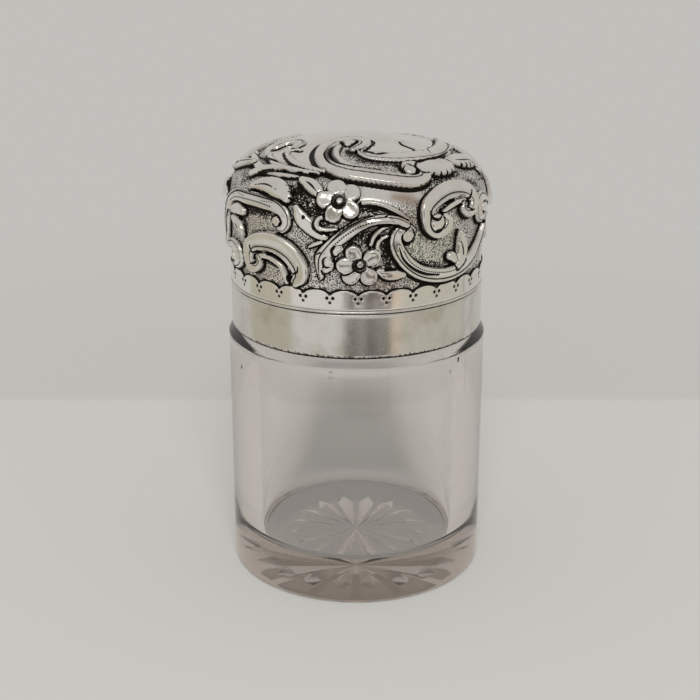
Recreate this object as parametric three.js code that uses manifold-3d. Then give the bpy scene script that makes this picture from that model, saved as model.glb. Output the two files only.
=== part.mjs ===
// A silver-lidded glass jar for spice or salts: a thick glass cylinder with a star cut under its base, a
// plain silver collar cemented round its neck, and a domed lid of chased silver sheet that slips over the
// collar's bezel and lifts straight off. Millimetres, +Z up, origin at the centre of the base.

import * as THREE from "three";
import { mergeVertices } from "three/addons/utils/BufferGeometryUtils.js";
import Module from "manifold-3d";

const wasm = await Module();
wasm.setup();

// Glass body
const bodyRadius = 25.5;
const wallThickness = 5.7;
const floorThickness = 7.3;
const bodyHeight = 48.9; // straight outside wall, up to the bevel
const baseEdgeChamfer = 0.7;
const floorCornerRadius = 2;
const bevelWidth = 0.9; // ground bevel round the shoulder
const bevelRise = 1.5;
const neckWall = 3.9;
const lipRoundRadius = 1.1;
const throatDepth = 5; // where the wide inside draws in to the mouth, below the shoulder

// Star cut under the base
const starRays = 16;
const starRadius = 15.5;
const rayWidth = 3.4;
const rayDepth = 1.2;
const rayWidestRadius = 12.4;

// Silver collar
const collarSetback = 0.75; // how far the collar stands inside the glass body's outside
const collarHeight = 8.45;
const collarSheet = 0.7;
const ledgeSheet = 0.7;
const bezelRise = 6; // above the ledge that the lid rests on
const bezelSheet = 0.55;
const bezelLipWidth = 3; // turned in over the glass lip
const cementThickness = 0.9;

// Silver lid
const lidSheet = 0.6;
const linerSheet = 0.5;
const linerHeight = 6.4;
const edgeWireHeight = 0.5;
const edgeWireDepth = 0.65;
const lidHeight = 28;
const lidBulge = 0.85; // how far the widest ring stands outside the mouth
const bulgeHeight = 16.2; // the widest ring, above the mouth
const crownRadius = 17.5; // edge of the shallow crown
const crownRise = 2.6;

// Chased pattern of the lid: scrolls that stand out from a sunk ground
const groundDepth = 0.3; // below the plain sheet
const borderHeight = 3.2; // plain border, from the foot of the sheet
const borderSlope = 0.3;
const crownMargin = 0.9; // plain metal between the sunk ground and the crown's edge
const crownSlope = 1.2;
const scrollHeight = 0.75; // crests over the plain sheet
const scrollRoot = 0.2; // how deep a scroll sits in the ground
const narrowRise = 1.6; // height of a narrow scroll over the ground, for a half width of 1
const haunchSpread = 0.7; // where a scroll's side turns into its back, as a share of its half width
const haunchRise = 0.75; // and as a share of its height
const petalReach = 2.45; // from the middle of a flower to the middle of a petal

// Gaps between pieces
const seatGap = 0.2; // a face that rests on another
const joinGap = 0.15; // soldered or cemented sleeves
const slipGap = 0.15; // lid liner round the bezel

// Steps of the round forms
const turnSteps = 72;
const lidTurnSteps = 60;
const cornerSteps = 4;
const groundSteps = 9;
const crownSteps = 5;
const wireSteps = 5;
const lineSteps = 480; // close steps, to find a place on the lid's outline
const bossSteps = 8;
const insideSteps = 10; // inside of the lid's sheet
const scrollStep = 3.4; // longest stretch of a scroll between two of its sections

// The pattern of the front half. Places on the wall are given in degrees round from the front and percent
// of the way up the metal, places on the crown in percent of the widest radius, rightwards and back. The
// third number is the half width of the scroll there.
const wallScrolls = {
  beadedScroll: [
    [-85, 17.5, 1.6], [-78.5, 22, 1.7], [-74.5, 27.5, 1.6], [-71.5, 33.5, 1.4], [-68, 37.5, 1.2],
    [-62, 40.5, 1.2], [-53, 40.5, 1.3], [-44, 40.5, 1.3], [-36, 40, 1.25], [-31, 37.5, 1],
    [-29.5, 34, 0.85], [-31.5, 31.5, 0.7], [-34.5, 32, 0.5],
  ],
  fanLeaf: [[-53, 45.5, 0.6], [-48.5, 47.5, 1.3], [-42, 48, 1.8], [-36, 46.5, 1.7], [-31, 43.5, 1]],
  hookedLeaf: [[-26, 57.5, 0.4], [-33, 57, 0.65], [-50, 55.5, 0.8], [-57, 54, 0.9], [-61, 52, 0.9]],
  leftCurl: [
    [-74.5, 17.5, 0.8], [-68.5, 18.5, 1.1], [-63, 17.5, 1.3], [-62, 13, 1.25], [-65.5, 10.5, 0.9],
    [-69.5, 10, 0.6],
  ],
  leftLeaf: [[-70, 55.5, 0.8], [-78, 53.5, 1.4], [-87, 50, 1.7], [-95, 47, 1.4]],
  leftLobe: [[-77.5, 38, 0.8], [-82.5, 40, 1.3], [-89.5, 39, 1.6], [-95, 35.5, 1.2]],
  thickScroll: [
    [-45.5, 17.5, 0.5], [-45.5, 15, 0.7], [-47.5, 13, 0.8], [-50.5, 13, 0.95], [-53, 15.5, 1.15],
    [-52.5, 19.5, 1.3], [-49, 23, 1.6], [-42.5, 24.5, 1.9], [-35.5, 24.5, 2], [-29, 22, 2],
    [-25, 17, 1.9], [-24.5, 12.5, 1.5], [-26.5, 10.5, 1],
  ],
  budLeaf: [[-27, 52.5, 0.7], [-22.5, 51, 1.25], [-18.5, 48.5, 1.2], [-15.5, 46.5, 0.6]],
  longLeaf: [[-25.5, 40.5, 0.6], [-23, 36.5, 1.3], [-19.5, 33.5, 1.3], [-16, 31, 1], [-12.5, 29.5, 0.5]],
  middleScroll: [
    [-15, 13.5, 0.5], [-14.5, 17.5, 1.15], [-14, 21, 1.6], [-11.5, 25, 1.4], [-9, 28, 1.15], [-5, 31, 1.1],
    [0.5, 34.5, 1], [6, 36.5, 0.85], [11.5, 37, 0.8], [16.5, 36, 0.7], [20, 34.5, 0.6],
  ],
  longScroll: [
    [70, 31, 0.5], [69, 26.5, 0.9], [66, 21.5, 1.3], [60.5, 16, 1.6], [54.5, 13, 1.5], [47.5, 11.5, 1.3],
    [41, 11.5, 1.35], [34, 12, 1.4], [27, 14.5, 1.35], [21.5, 18, 1.3], [17.5, 23, 1.25], [15.5, 28, 1.05],
    [16.5, 31.5, 0.85], [19.5, 33, 0.8], [22, 32, 0.7], [22.5, 29.5, 0.6], [21, 28, 0.5],
  ],
  bud: [[47.5, 28, 0.3], [48.5, 25, 0.9], [49.5, 22, 1.4], [50.5, 19, 1.5], [50, 16, 1.1], [48, 14, 0.7]],
  rightCurl: [
    [72, 37, 0.8], [67, 38.5, 0.95], [62.5, 37, 1.05], [61.5, 34, 1], [63, 30.5, 0.9], [67, 30, 0.7],
    [70.5, 30.5, 0.5],
  ],
  kidneyScroll: [
    [38, 35.5, 0.5], [40.5, 33.5, 0.8], [38.5, 30.5, 0.95], [34, 29.5, 1], [30.5, 32.5, 1.15],
    [29.5, 36.5, 1.25], [31, 40.5, 1.5], [36, 43.5, 1.65], [43, 45, 1.7], [50, 45, 1.75],
    [55.5, 43, 1.6], [58.5, 39, 1.15], [56, 35.5, 0.9], [52, 34.5, 0.8], [49.5, 36.5, 0.65],
  ],
  broadLeaf: [[40, 58, 1.6], [45.5, 57.5, 2.2], [52, 57, 2.2], [57.5, 57, 1.9], [60, 57.5, 1]],
  pointedLeaf: [[65, 57, 1], [70, 55.5, 1.7], [77, 54, 1.8], [85, 52, 1.2]],
};
const flowers = [
  { middle: [-7.5, 44], petals: [[38, 1.6], [108, 1.6], [178, 1.4], [248, 1.4], [322, 1.4]] },
  { middle: [1, 19], petals: [[32, 1.3], [118, 1.4], [183, 1.4], [232, 1.5], [305, 1.5]] },
];
const wallBosses = [[33.5, 34.5, 1.1], [-69.5, 13.5, 0.8], [67.5, 34, 0.85]];
const crownScrolls = {
  crownScroll: [
    [-3, -40, 0.6], [2, -34, 1.1], [5, -27, 1.2], [5, -21, 1.2], [-2, -16, 1.2], [-11, -18, 1.3],
    [-19, -25, 1.3], [-24, -35, 1.3], [-25, -49, 1.35], [-21, -63, 1.5], [-9, -73, 1.6], [7, -77, 1.6],
    [23, -77, 1.6], [36, -73, 1.5], [43, -65, 1.1], [41, -57, 0.95], [34, -56, 0.8], [30, -61, 0.7],
  ],
  crescent: [
    [14, -41, 0.5], [16, -38, 0.6], [12, -36, 0.7], [7, -38, 0.9], [5, -44, 1.2], [9, -49, 1.4],
    [20, -50, 1.5], [31, -48, 1.5], [43, -41, 1.6], [53, -31, 1.7], [60, -20, 1.8], [64, -6, 1.8],
    [66, 10, 1.7], [66, 25, 1.5], [63, 37, 1],
  ],
  middleFeather: [[-27, -71, 0.3], [-43, -62, 0.6], [-55, -49, 0.75], [-62, -33, 0.7], [-64, -20, 0.5]],
  longFeather: [
    [-33, -73, 0.3], [-51, -63, 0.7], [-66, -48, 0.85], [-73, -29, 0.9], [-77, -8, 0.9], [-77, 16, 0.7],
    [-74, 35, 0.4],
  ],
  sideHook: [[-45, -21, 0.6], [-41, -13, 0.9], [-44, -5, 1.1], [-53, -4, 1.2], [-59, -9, 0.9]],
};

// Levels
const shoulderLevel = bodyHeight + bevelRise;
const collarFoot = shoulderLevel + seatGap;
const ledgeLevel = collarFoot + collarHeight;
const bezelTop = ledgeLevel + bezelRise;
const neckTop = bezelTop - bezelSheet - seatGap;
const lidFoot = ledgeLevel + seatGap;
const wallFoot = lidFoot + edgeWireHeight + joinGap;
const lidTop = lidFoot + lidHeight;

// Radii, from the outside in
const collarRadius = bodyRadius - collarSetback;
const linerRadius = collarRadius - lidSheet - joinGap;
const bezelRadius = linerRadius - linerSheet - slipGap;
const cementRadius = bezelRadius - bezelSheet - joinGap;
const neckRadius = cementRadius - cementThickness - joinGap;
const mouthRadius = neckRadius - neckWall;
const insideRadius = bodyRadius - wallThickness;
const widestRadius = collarRadius + lidBulge;

const glass = { color: 0xe4e3de, roughness: 0.03, metalness: 0, transparent: true, opacity: 0.35 };
const brightSilver = { color: 0xd6d4cd, roughness: 0.16, metalness: 1 };
const chasedSilver = { color: 0xb9b6ad, roughness: 0.26, metalness: 1 };
const plaster = { color: 0xcfc7b8, roughness: 0.9, metalness: 0 };

// Points of a circular arc in the profile plane, both ends included, angles in quarter turns from +X.
function arc(x, z, radius, fromQuarter, toQuarter, steps) {
  const points = [];
  for (let i = 0; i <= steps; i += 1) {
    const angle = ((fromQuarter + ((toQuarter - fromQuarter) * i) / steps) * Math.PI) / 2;
    points.push(new THREE.Vector2(x + radius * Math.cos(angle), z + radius * Math.sin(angle)));
  }
  return points;
}

const point = (radius, level) => new THREE.Vector2(radius, level);

// Revolves a profile, given anticlockwise with radius to the right and level upwards, round the Z axis.
function revolve(profile, steps = turnSteps) {
  const lathed = new THREE.LatheGeometry(profile, steps);
  lathed.rotateX(Math.PI / 2);
  lathed.deleteAttribute("normal");
  lathed.deleteAttribute("uv");
  const merged = mergeVertices(lathed, 1e-4);
  const kept = [];
  const corners = merged.index.array;
  for (let i = 0; i < corners.length; i += 3) {
    const [a, b, c] = [corners[i], corners[i + 1], corners[i + 2]];
    if (a !== b && b !== c && c !== a) {
      kept.push(a, b, c);
    }
  }
  merged.setIndex(kept);
  return merged;
}

// A ring with a rectangular section.
function ring(innerRadius, outerRadius, foot, top) {
  return revolve([
    point(innerRadius, foot),
    point(outerRadius, foot),
    point(outerRadius, top),
    point(innerRadius, top),
    point(innerRadius, foot),
  ]);
}

function toSolid(geometry) {
  return new wasm.Manifold(
    new wasm.Mesh({
      numProp: 3,
      vertProperties: new Float32Array(geometry.getAttribute("position").array),
      triVerts: new Uint32Array(geometry.index.array),
    }),
  );
}

function toGeometry(solid) {
  const mesh = solid.getMesh();
  const geometry = new THREE.BufferGeometry();
  geometry.setAttribute("position", new THREE.BufferAttribute(new Float32Array(mesh.vertProperties), 3));
  geometry.setIndex([...mesh.triVerts]);
  geometry.computeVertexNormals();
  return geometry;
}

// One ray of the star, as the V-shaped cut that a wheel leaves: a kite in plan, deepest at its widest.
function starRay() {
  const below = 0.3; // starts under the base, so that the cut is clean
  const grow = (rayDepth + below) / rayDepth;
  const half = (rayWidth / 2) * grow;
  const inner = rayWidestRadius - rayWidestRadius * grow;
  const outer = rayWidestRadius + (starRadius - rayWidestRadius) * grow;
  const corners = new Float32Array([
    inner, 0, -below,
    rayWidestRadius, half, -below,
    outer, 0, -below,
    rayWidestRadius, -half, -below,
    rayWidestRadius, 0, rayDepth,
  ]);
  const cut = new THREE.BufferGeometry();
  cut.setAttribute("position", new THREE.BufferAttribute(corners, 3));
  cut.setIndex([0, 1, 2, 0, 2, 3, 1, 0, 4, 2, 1, 4, 3, 2, 4, 0, 3, 4]);
  return cut;
}

function glassJar() {
  const throatRise = throatDepth / 2;
  const cornerLevel = floorThickness + floorCornerRadius;
  const inside = new THREE.CubicBezierCurve(
    point(mouthRadius, shoulderLevel),
    point(mouthRadius, shoulderLevel - throatRise),
    point(insideRadius, shoulderLevel - throatRise),
    point(insideRadius, shoulderLevel - throatDepth),
  );
  const body = revolve([
    point(0, 0),
    point(bodyRadius - baseEdgeChamfer, 0),
    point(bodyRadius, baseEdgeChamfer),
    point(bodyRadius, bodyHeight),
    point(bodyRadius - bevelWidth, shoulderLevel),
    point(neckRadius, shoulderLevel),
    ...arc(neckRadius - lipRoundRadius, neckTop - lipRoundRadius, lipRoundRadius, 0, 1, cornerSteps),
    ...arc(mouthRadius + lipRoundRadius, neckTop - lipRoundRadius, lipRoundRadius, 1, 2, cornerSteps),
    ...inside.getPoints(cornerSteps),
    ...arc(insideRadius - floorCornerRadius, cornerLevel, floorCornerRadius, 0, -1, cornerSteps),
    point(0, floorThickness),
  ]);
  let solid = toSolid(body);
  for (let i = 0; i < starRays; i += 1) {
    const ray = starRay();
    ray.rotateZ(((i + 0.5) * 2 * Math.PI) / starRays);
    solid = solid.subtract(toSolid(ray));
  }
  return toGeometry(solid);
}

// Plain outer band, with the ledge at its top that carries the lid and meets the bezel.
function collarBand() {
  const section = [
    point(collarRadius - collarSheet, collarFoot),
    point(collarRadius, collarFoot),
    point(collarRadius, ledgeLevel),
    point(bezelRadius + joinGap, ledgeLevel),
    point(bezelRadius + joinGap, ledgeLevel - ledgeSheet),
    point(collarRadius - collarSheet, ledgeLevel - ledgeSheet),
  ];
  return revolve([...section, section[0].clone()]);
}

// Upright sleeve that the lid slips over, with its top edge turned in over the glass lip.
function collarBezel() {
  const inner = bezelRadius - bezelSheet;
  const section = [
    point(inner, collarFoot),
    point(bezelRadius, collarFoot),
    ...arc(bezelRadius - bezelSheet, bezelTop - bezelSheet, bezelSheet, 0, 1, cornerSteps),
    point(inner - bezelLipWidth, bezelTop),
    point(inner - bezelLipWidth, bezelTop - bezelSheet),
    point(inner, bezelTop - bezelSheet),
  ];
  return revolve([...section, section[0].clone()]);
}

// Plain outside line of the lid, from the foot of its wall over the round shoulder to the crown's middle.
function lidCurve() {
  const widest = point(widestRadius, lidFoot + bulgeHeight);
  const crownEdge = point(crownRadius, lidTop - crownRise);
  const crownSphere = (crownRadius ** 2 + crownRise ** 2) / (2 * crownRise);
  const crownMiddle = lidTop - crownSphere;
  const slope = crownRadius / (crownEdge.y - crownMiddle);
  const run = widest.x - crownEdge.x;
  const wall = new THREE.CubicBezierCurve(
    point(collarRadius, wallFoot),
    point(collarRadius, wallFoot + bulgeHeight * 0.45),
    point(widest.x, widest.y - bulgeHeight * 0.3),
    widest,
  );
  const shoulder = new THREE.CubicBezierCurve(
    widest,
    point(widest.x, widest.y + (crownEdge.y - widest.y) * 0.55),
    point(crownEdge.x + run * 0.55, crownEdge.y - run * 0.55 * slope),
    crownEdge,
  );
  const crownStart = Math.atan2(crownEdge.y - crownMiddle, crownRadius);
  const crown = new THREE.EllipseCurve(0, crownMiddle, crownSphere, crownSphere, crownStart, Math.PI / 2);
  const curve = new THREE.CurvePath();
  curve.add(wall);
  curve.add(shoulder);
  curve.add(crown);
  return curve;
}

// Lengths up the metal of the lid, from the foot of its wall
const lidLine = lidCurve();
const lidRise = lidLine.getLength();
const crownEdgeUp = lidRise - lidLine.curves[2].getLength();
const groundTop = crownEdgeUp - crownMargin;

// How deep the ground is sunk at a distance up the metal.
function sunkAt(up) {
  const fromBorder = (up - borderHeight) / borderSlope;
  const fromCrown = (groundTop - up) / crownSlope;
  return groundDepth * THREE.MathUtils.clamp(Math.min(fromBorder, fromCrown), 0, 1);
}

// A place of the plain line, the way outwards there, and the depth of the ground.
function station(up) {
  const along = lidLine.getTangent(up / lidRise);
  return { spot: lidLine.getPoint(up / lidRise), outward: point(along.y, -along.x), sunk: sunkAt(up) };
}

const stations = Array.from({ length: lineSteps + 1 }, (_, i) => station((lidRise * i) / lineSteps));

// Evenly spread numbers, both ends included.
function spread(from, to, steps) {
  return Array.from({ length: steps + 1 }, (_, i) => from + ((to - from) * i) / steps);
}

function lidSheetSolid() {
  const atDepth = ({ spot, outward }, depth) => spot.clone().addScaledVector(outward, -depth);
  const outside = [
    0,
    borderHeight,
    ...spread(borderHeight + borderSlope, groundTop - crownSlope, groundSteps),
    groundTop,
    ...spread(crownEdgeUp, lidRise, crownSteps),
  ].map(station);
  const inside = spread(lidRise, 0, insideSteps).map(station);
  const profile = [
    ...outside.map((place) => atDepth(place, place.sunk)),
    ...inside.map((place) => atDepth(place, lidSheet)),
    atDepth(outside[0], 0),
  ];
  return toSolid(revolve(profile, lidTurnSteps));
}

// Turns a place of the profile plane round the axis. Turn 0 faces -Y, and turns go towards +X.
function turned(spot, turn) {
  return new THREE.Vector3(spot.x * Math.sin(turn), -spot.x * Math.cos(turn), spot.y);
}

// A place on the plain sheet: degrees round from the front, and percent of the way up the metal.
function onWall([degrees, percent]) {
  return turned(station((lidRise * percent) / 100).spot, THREE.MathUtils.degToRad(degrees));
}

// A place on the top of the plain sheet, from its plan: percent of the widest radius, rightwards and back.
function onCrown([right, back]) {
  const radius = (Math.hypot(right, back) / 100) * widestRadius;
  const under = stations.findLast((place) => place.spot.x >= radius);
  return turned(under.spot, Math.atan2(right, -back));
}

// Sets a place near the sheet to a height over the plain sheet. Without a height it goes down to the root
// of a scroll, just inside the ground.
function settle(place, height) {
  const radius = Math.hypot(place.x, place.y);
  const gap = ({ spot }) => Math.hypot(spot.x - radius, spot.y - place.z);
  const nearest = stations.reduce((best, next) => (gap(next) < gap(best) ? next : best));
  const turn = Math.atan2(place.x, -place.y);
  const outward = turned(nearest.outward, turn);
  const above = place.clone().sub(turned(nearest.spot, turn)).dot(outward);
  const wanted = height ?? -nearest.sunk - scrollRoot;
  return { outward, sunk: nearest.sunk, spot: place.clone().addScaledVector(outward, wanted - above) };
}

// A domed section across a scroll, from its root round by foot, haunch and crest to the other foot. Narrow
// scrolls are lower.
function section(middle, along, half) {
  const { outward, sunk, spot } = settle(middle);
  const side = along.clone().cross(outward).normalize();
  const crest = Math.min(scrollHeight, half * narrowRise - sunk);
  const haunch = (crest + sunk) * haunchRise - sunk;
  const across = (reach, height) => settle(middle.clone().addScaledVector(side, reach * half), height).spot;
  return [
    spot,
    across(1),
    across(haunchSpread, haunch),
    across(0, crest),
    across(-haunchSpread, haunch),
    across(-1),
  ];
}

// A closed solid through a row of sections.
function loft(sections) {
  const corners = sections[0].length;
  const last = (sections.length - 1) * corners;
  const faces = [];
  for (let base = 0; base < last; base += corners) {
    for (let i = 0; i < corners; i += 1) {
      const here = base + i;
      const next = base + ((i + 1) % corners);
      faces.push(next, here, here + corners, next, here + corners, next + corners);
    }
  }
  for (let i = 1; i < corners - 1; i += 1) {
    faces.push(0, i, i + 1, last, last + i + 1, last + i);
  }
  return toSolid(new THREE.BufferGeometry().setFromPoints(sections.flat()).setIndex(faces));
}

// A domed scroll along a smooth line through its spots, with its half width at each.
function scroll(spots, halves) {
  const line = new THREE.CatmullRomCurve3(spots);
  const sections = [];
  const add = (knot, half) => {
    const share = knot / (spots.length - 1);
    sections.push(section(line.getPoint(share), line.getTangent(share), half));
  };
  for (let i = 0; i < spots.length - 1; i += 1) {
    const steps = Math.ceil(spots[i].distanceTo(spots[i + 1]) / scrollStep);
    for (let j = 0; j < steps; j += 1) {
      add(i + j / steps, THREE.MathUtils.lerp(halves[i], halves[i + 1], j / steps));
    }
  }
  add(spots.length - 1, halves.at(-1));
  return loft(sections);
}

// A round button, domed like the scrolls.
function boss(middle, radius) {
  const { outward } = settle(middle);
  const start = new THREE.Vector3(0, 0, 1).cross(outward).normalize().multiplyScalar(radius);
  const turns = spread(0, 2 * Math.PI, bossSteps).slice(1);
  const rim = turns.map((turn) => start.clone().applyAxisAngle(outward, turn));
  const haunchLevel = scrollHeight * haunchRise;
  const places = [
    ...rim.map((reach) => settle(middle.clone().add(reach)).spot),
    ...rim.map((reach) => settle(middle.clone().addScaledVector(reach, haunchSpread), haunchLevel).spot),
    settle(middle, scrollHeight).spot,
  ];
  return wasm.Manifold.hull(places.map((place) => place.toArray()));
}

// The petals round a flower's eye, each with its direction in degrees, anticlockwise from rightwards, and
// its radius.
function flower({ middle, petals }) {
  const eye = onWall(middle);
  const { outward } = settle(eye);
  const right = new THREE.Vector3(0, 0, petalReach).cross(outward);
  return petals.map(([direction, radius]) => {
    const way = right.clone().applyAxisAngle(outward, THREE.MathUtils.degToRad(direction));
    return boss(eye.clone().add(way), radius);
  });
}

function lidShell() {
  const scrolls = (drawing, onSheet) =>
    Object.values(drawing).map((places) => scroll(places.map(onSheet), places.map(([, , half]) => half)));
  const bosses = wallBosses.map(([degrees, percent, radius]) => boss(onWall([degrees, percent]), radius));
  const petals = flowers.flatMap(flower);
  const front = wasm.Manifold.union([...scrolls(wallScrolls, onWall), ...petals, ...bosses]);
  const crown = scrolls(crownScrolls, onCrown);
  return toGeometry(wasm.Manifold.union([lidSheetSolid(), front, front.rotate([0, 0, 180]), ...crown]));
}

// Half-round wire that stiffens the lid's mouth.
function lidEdgeWire() {
  const round = edgeWireHeight / 2;
  const inner = collarRadius - edgeWireDepth;
  return revolve([
    point(inner, lidFoot),
    ...arc(collarRadius - round / 2, lidFoot + round, round, -1, 1, wireSteps),
    point(inner, lidFoot + edgeWireHeight),
    point(inner, lidFoot),
  ]);
}

const part = new THREE.Group();

function add(name, geometry, finish) {
  const mesh = new THREE.Mesh(geometry, new THREE.MeshStandardMaterial(finish));
  mesh.name = name;
  part.add(mesh);
}

add("glass_jar", glassJar(), glass);
add("neck_cement", ring(neckRadius + joinGap, cementRadius, collarFoot, neckTop - lipRoundRadius), plaster);
add("collar_band", collarBand(), brightSilver);
add("collar_bezel", collarBezel(), brightSilver);
add("lid_shell", lidShell(), chasedSilver);
add("lid_liner", ring(linerRadius - linerSheet, linerRadius, lidFoot, lidFoot + linerHeight), brightSilver);
add("lid_edge_wire", lidEdgeWire(), brightSilver);

export default part;
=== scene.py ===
# %% [markdown]
# # A silver-lidded glass jar
# The real object is a small round jar of thick clear glass, with a star cut under its base. A plain
# silver collar is cemented round its neck, and a domed silver lid with chased scrolls slips over the
# collar's bezel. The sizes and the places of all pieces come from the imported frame. This script makes
# their fine surfaces: round walls without flats, the raised and darkened pattern of the lid, clear
# glass that bends light, and worn silver.

# %% Load the frame
import math
from types import SimpleNamespace

import bmesh
import bpy
import numpy as np
from mathutils import Matrix, Vector
from mathutils.geometry import interpolate_bezier


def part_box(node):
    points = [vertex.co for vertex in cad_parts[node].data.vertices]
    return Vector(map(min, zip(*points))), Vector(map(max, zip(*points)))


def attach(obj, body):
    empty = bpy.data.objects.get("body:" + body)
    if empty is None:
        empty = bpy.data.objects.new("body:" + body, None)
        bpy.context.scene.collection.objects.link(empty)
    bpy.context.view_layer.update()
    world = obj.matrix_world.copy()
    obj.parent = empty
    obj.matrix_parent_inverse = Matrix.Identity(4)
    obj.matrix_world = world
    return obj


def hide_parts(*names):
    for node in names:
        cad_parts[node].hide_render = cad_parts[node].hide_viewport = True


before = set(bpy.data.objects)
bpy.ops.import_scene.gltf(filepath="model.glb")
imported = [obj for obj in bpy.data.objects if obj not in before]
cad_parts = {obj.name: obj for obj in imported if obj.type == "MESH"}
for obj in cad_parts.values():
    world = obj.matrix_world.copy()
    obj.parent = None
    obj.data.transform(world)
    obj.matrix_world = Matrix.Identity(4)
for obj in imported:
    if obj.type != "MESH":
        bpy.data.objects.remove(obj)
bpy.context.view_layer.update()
MM = 0.001
print("pieces in the frame:", ", ".join(sorted(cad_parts)))

# %% [markdown]
# The camera comes first, because every later choice is judged through it. It could be placed by eye,
# but six rings of the jar show as ellipses, and together they fix the lens, the distance and the tilt:
# a long lens, quite close, looking down by about twenty degrees.

# %% Camera
CAMERA_LENS = 70.97
CAMERA_SENSOR = 36.0
CAMERA_DISTANCE = 0.2795
LOOK_DOWN = math.radians(19.54)
AIM = Vector((-0.0013, 0.0, 0.0436))


def add_camera():
    data = bpy.data.cameras.new("camera")
    data.lens = CAMERA_LENS
    data.sensor_width = CAMERA_SENSOR
    camera = bpy.data.objects.new("camera", data)
    back = Vector((0, -math.cos(LOOK_DOWN), math.sin(LOOK_DOWN)))
    camera.location = AIM + back * CAMERA_DISTANCE
    camera.rotation_euler = (math.pi / 2 - LOOK_DOWN, 0, 0)
    bpy.context.scene.collection.objects.link(camera)
    bpy.context.scene.camera = camera
    print("camera at", [round(c, 4) for c in camera.location])


add_camera()

# %% [markdown]
# Almost every piece of this jar was turned on a wheel or spun on a lathe, so each one starts as the
# line of its section and is spun round the Z axis. A cylinder with bevels would do for a rough model,
# but a section puts every corner and every bulge where the lathe left it. It is written in millimetres
# as radius and height, and a corner that is round on the real piece gets a short arc.


# %% Sections
def arc(radius, height, bend, start, end, steps=6):
    """Points of a round corner. start and end are quarter turns from straight out."""
    turns = np.linspace(start, end, steps + 1) * math.pi / 2
    return [(radius + bend * math.cos(t), height + bend * math.sin(t)) for t in turns]


def bend(start, pull_start, pull_end, end, steps):
    """Points of a smooth curve between two places, drawn towards its two pulls."""
    points = interpolate_bezier(*(Vector((*p, 0)) for p in (start, pull_start, pull_end, end)), steps + 1)
    return [(p.x, p.y) for p in points]


# %% Spin a section into a piece
def as_object(name, bm):
    mesh = bpy.data.meshes.new(name)
    bm.to_mesh(mesh)
    bm.free()
    piece = bpy.data.objects.new(name, mesh)
    bpy.context.scene.collection.objects.link(piece)
    return piece


def turn_round(bm, section, steps):
    """Spins the verts and edges of a section round the axis."""
    bmesh.ops.spin(
        bm, geom=section, cent=(0, 0, 0), axis=(0, 0, 1), angle=math.tau, steps=steps, use_merge=True
    )
    bmesh.ops.remove_doubles(bm, verts=bm.verts, dist=1e-7)
    bmesh.ops.recalc_face_normals(bm, faces=bm.faces)


def spun(section, steps, closed=True):
    bm = bmesh.new()
    verts = [bm.verts.new((r * MM, 0, h * MM)) for r, h in section]
    pairs = list(zip(verts, verts[1:]))
    if closed:
        pairs.append((verts[-1], verts[0]))
    edges = [bm.edges.new(pair) for pair in pairs]
    turn_round(bm, verts + edges, steps)
    for face in bm.faces:
        face.smooth = True
    return bm


def dress(piece, node, body, material):
    """Puts a finished piece in the place of its CAD node."""
    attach(piece, body)
    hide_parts(node)
    piece.data.materials.append(material)
    print(piece.name, len(piece.data.polygons), "faces")


# %% [markdown]
# Materials and the world are trees of nodes. They could be wired one link at a time, but small helpers
# let each finish below read like a recipe: what it is made of, then what has happened to it.


# %% Wiring of nodes
class Wiring:
    """Makes nodes in a tree. An input gets a plain value, or a wire from the output that is given."""

    def __init__(self, tree):
        self.tree = tree

    def join(self, start, end):
        self.tree.links.new(start, end)

    def fill(self, node, values):
        for key, value in values.items():
            if isinstance(value, bpy.types.NodeSocket):
                self.join(value, node.inputs[key])
            else:
                node.inputs[key].default_value = value
        return node

    def node(self, kind, values=None, **settings):
        made = self.tree.nodes.new(kind)
        for key, value in settings.items():
            setattr(made, key, value)
        return self.fill(made, values or {})

    def maths(self, operation, first, second=0.0):
        return self.node("ShaderNodeMath", {0: first, 1: second}, operation=operation).outputs[0]

    def plus(self, first, second):
        return self.maths("ADD", first, second)

    def times(self, first, second):
        return self.maths("MULTIPLY", first, second)

    def larger(self, first, second):
        return self.maths("MAXIMUM", first, second)


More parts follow.
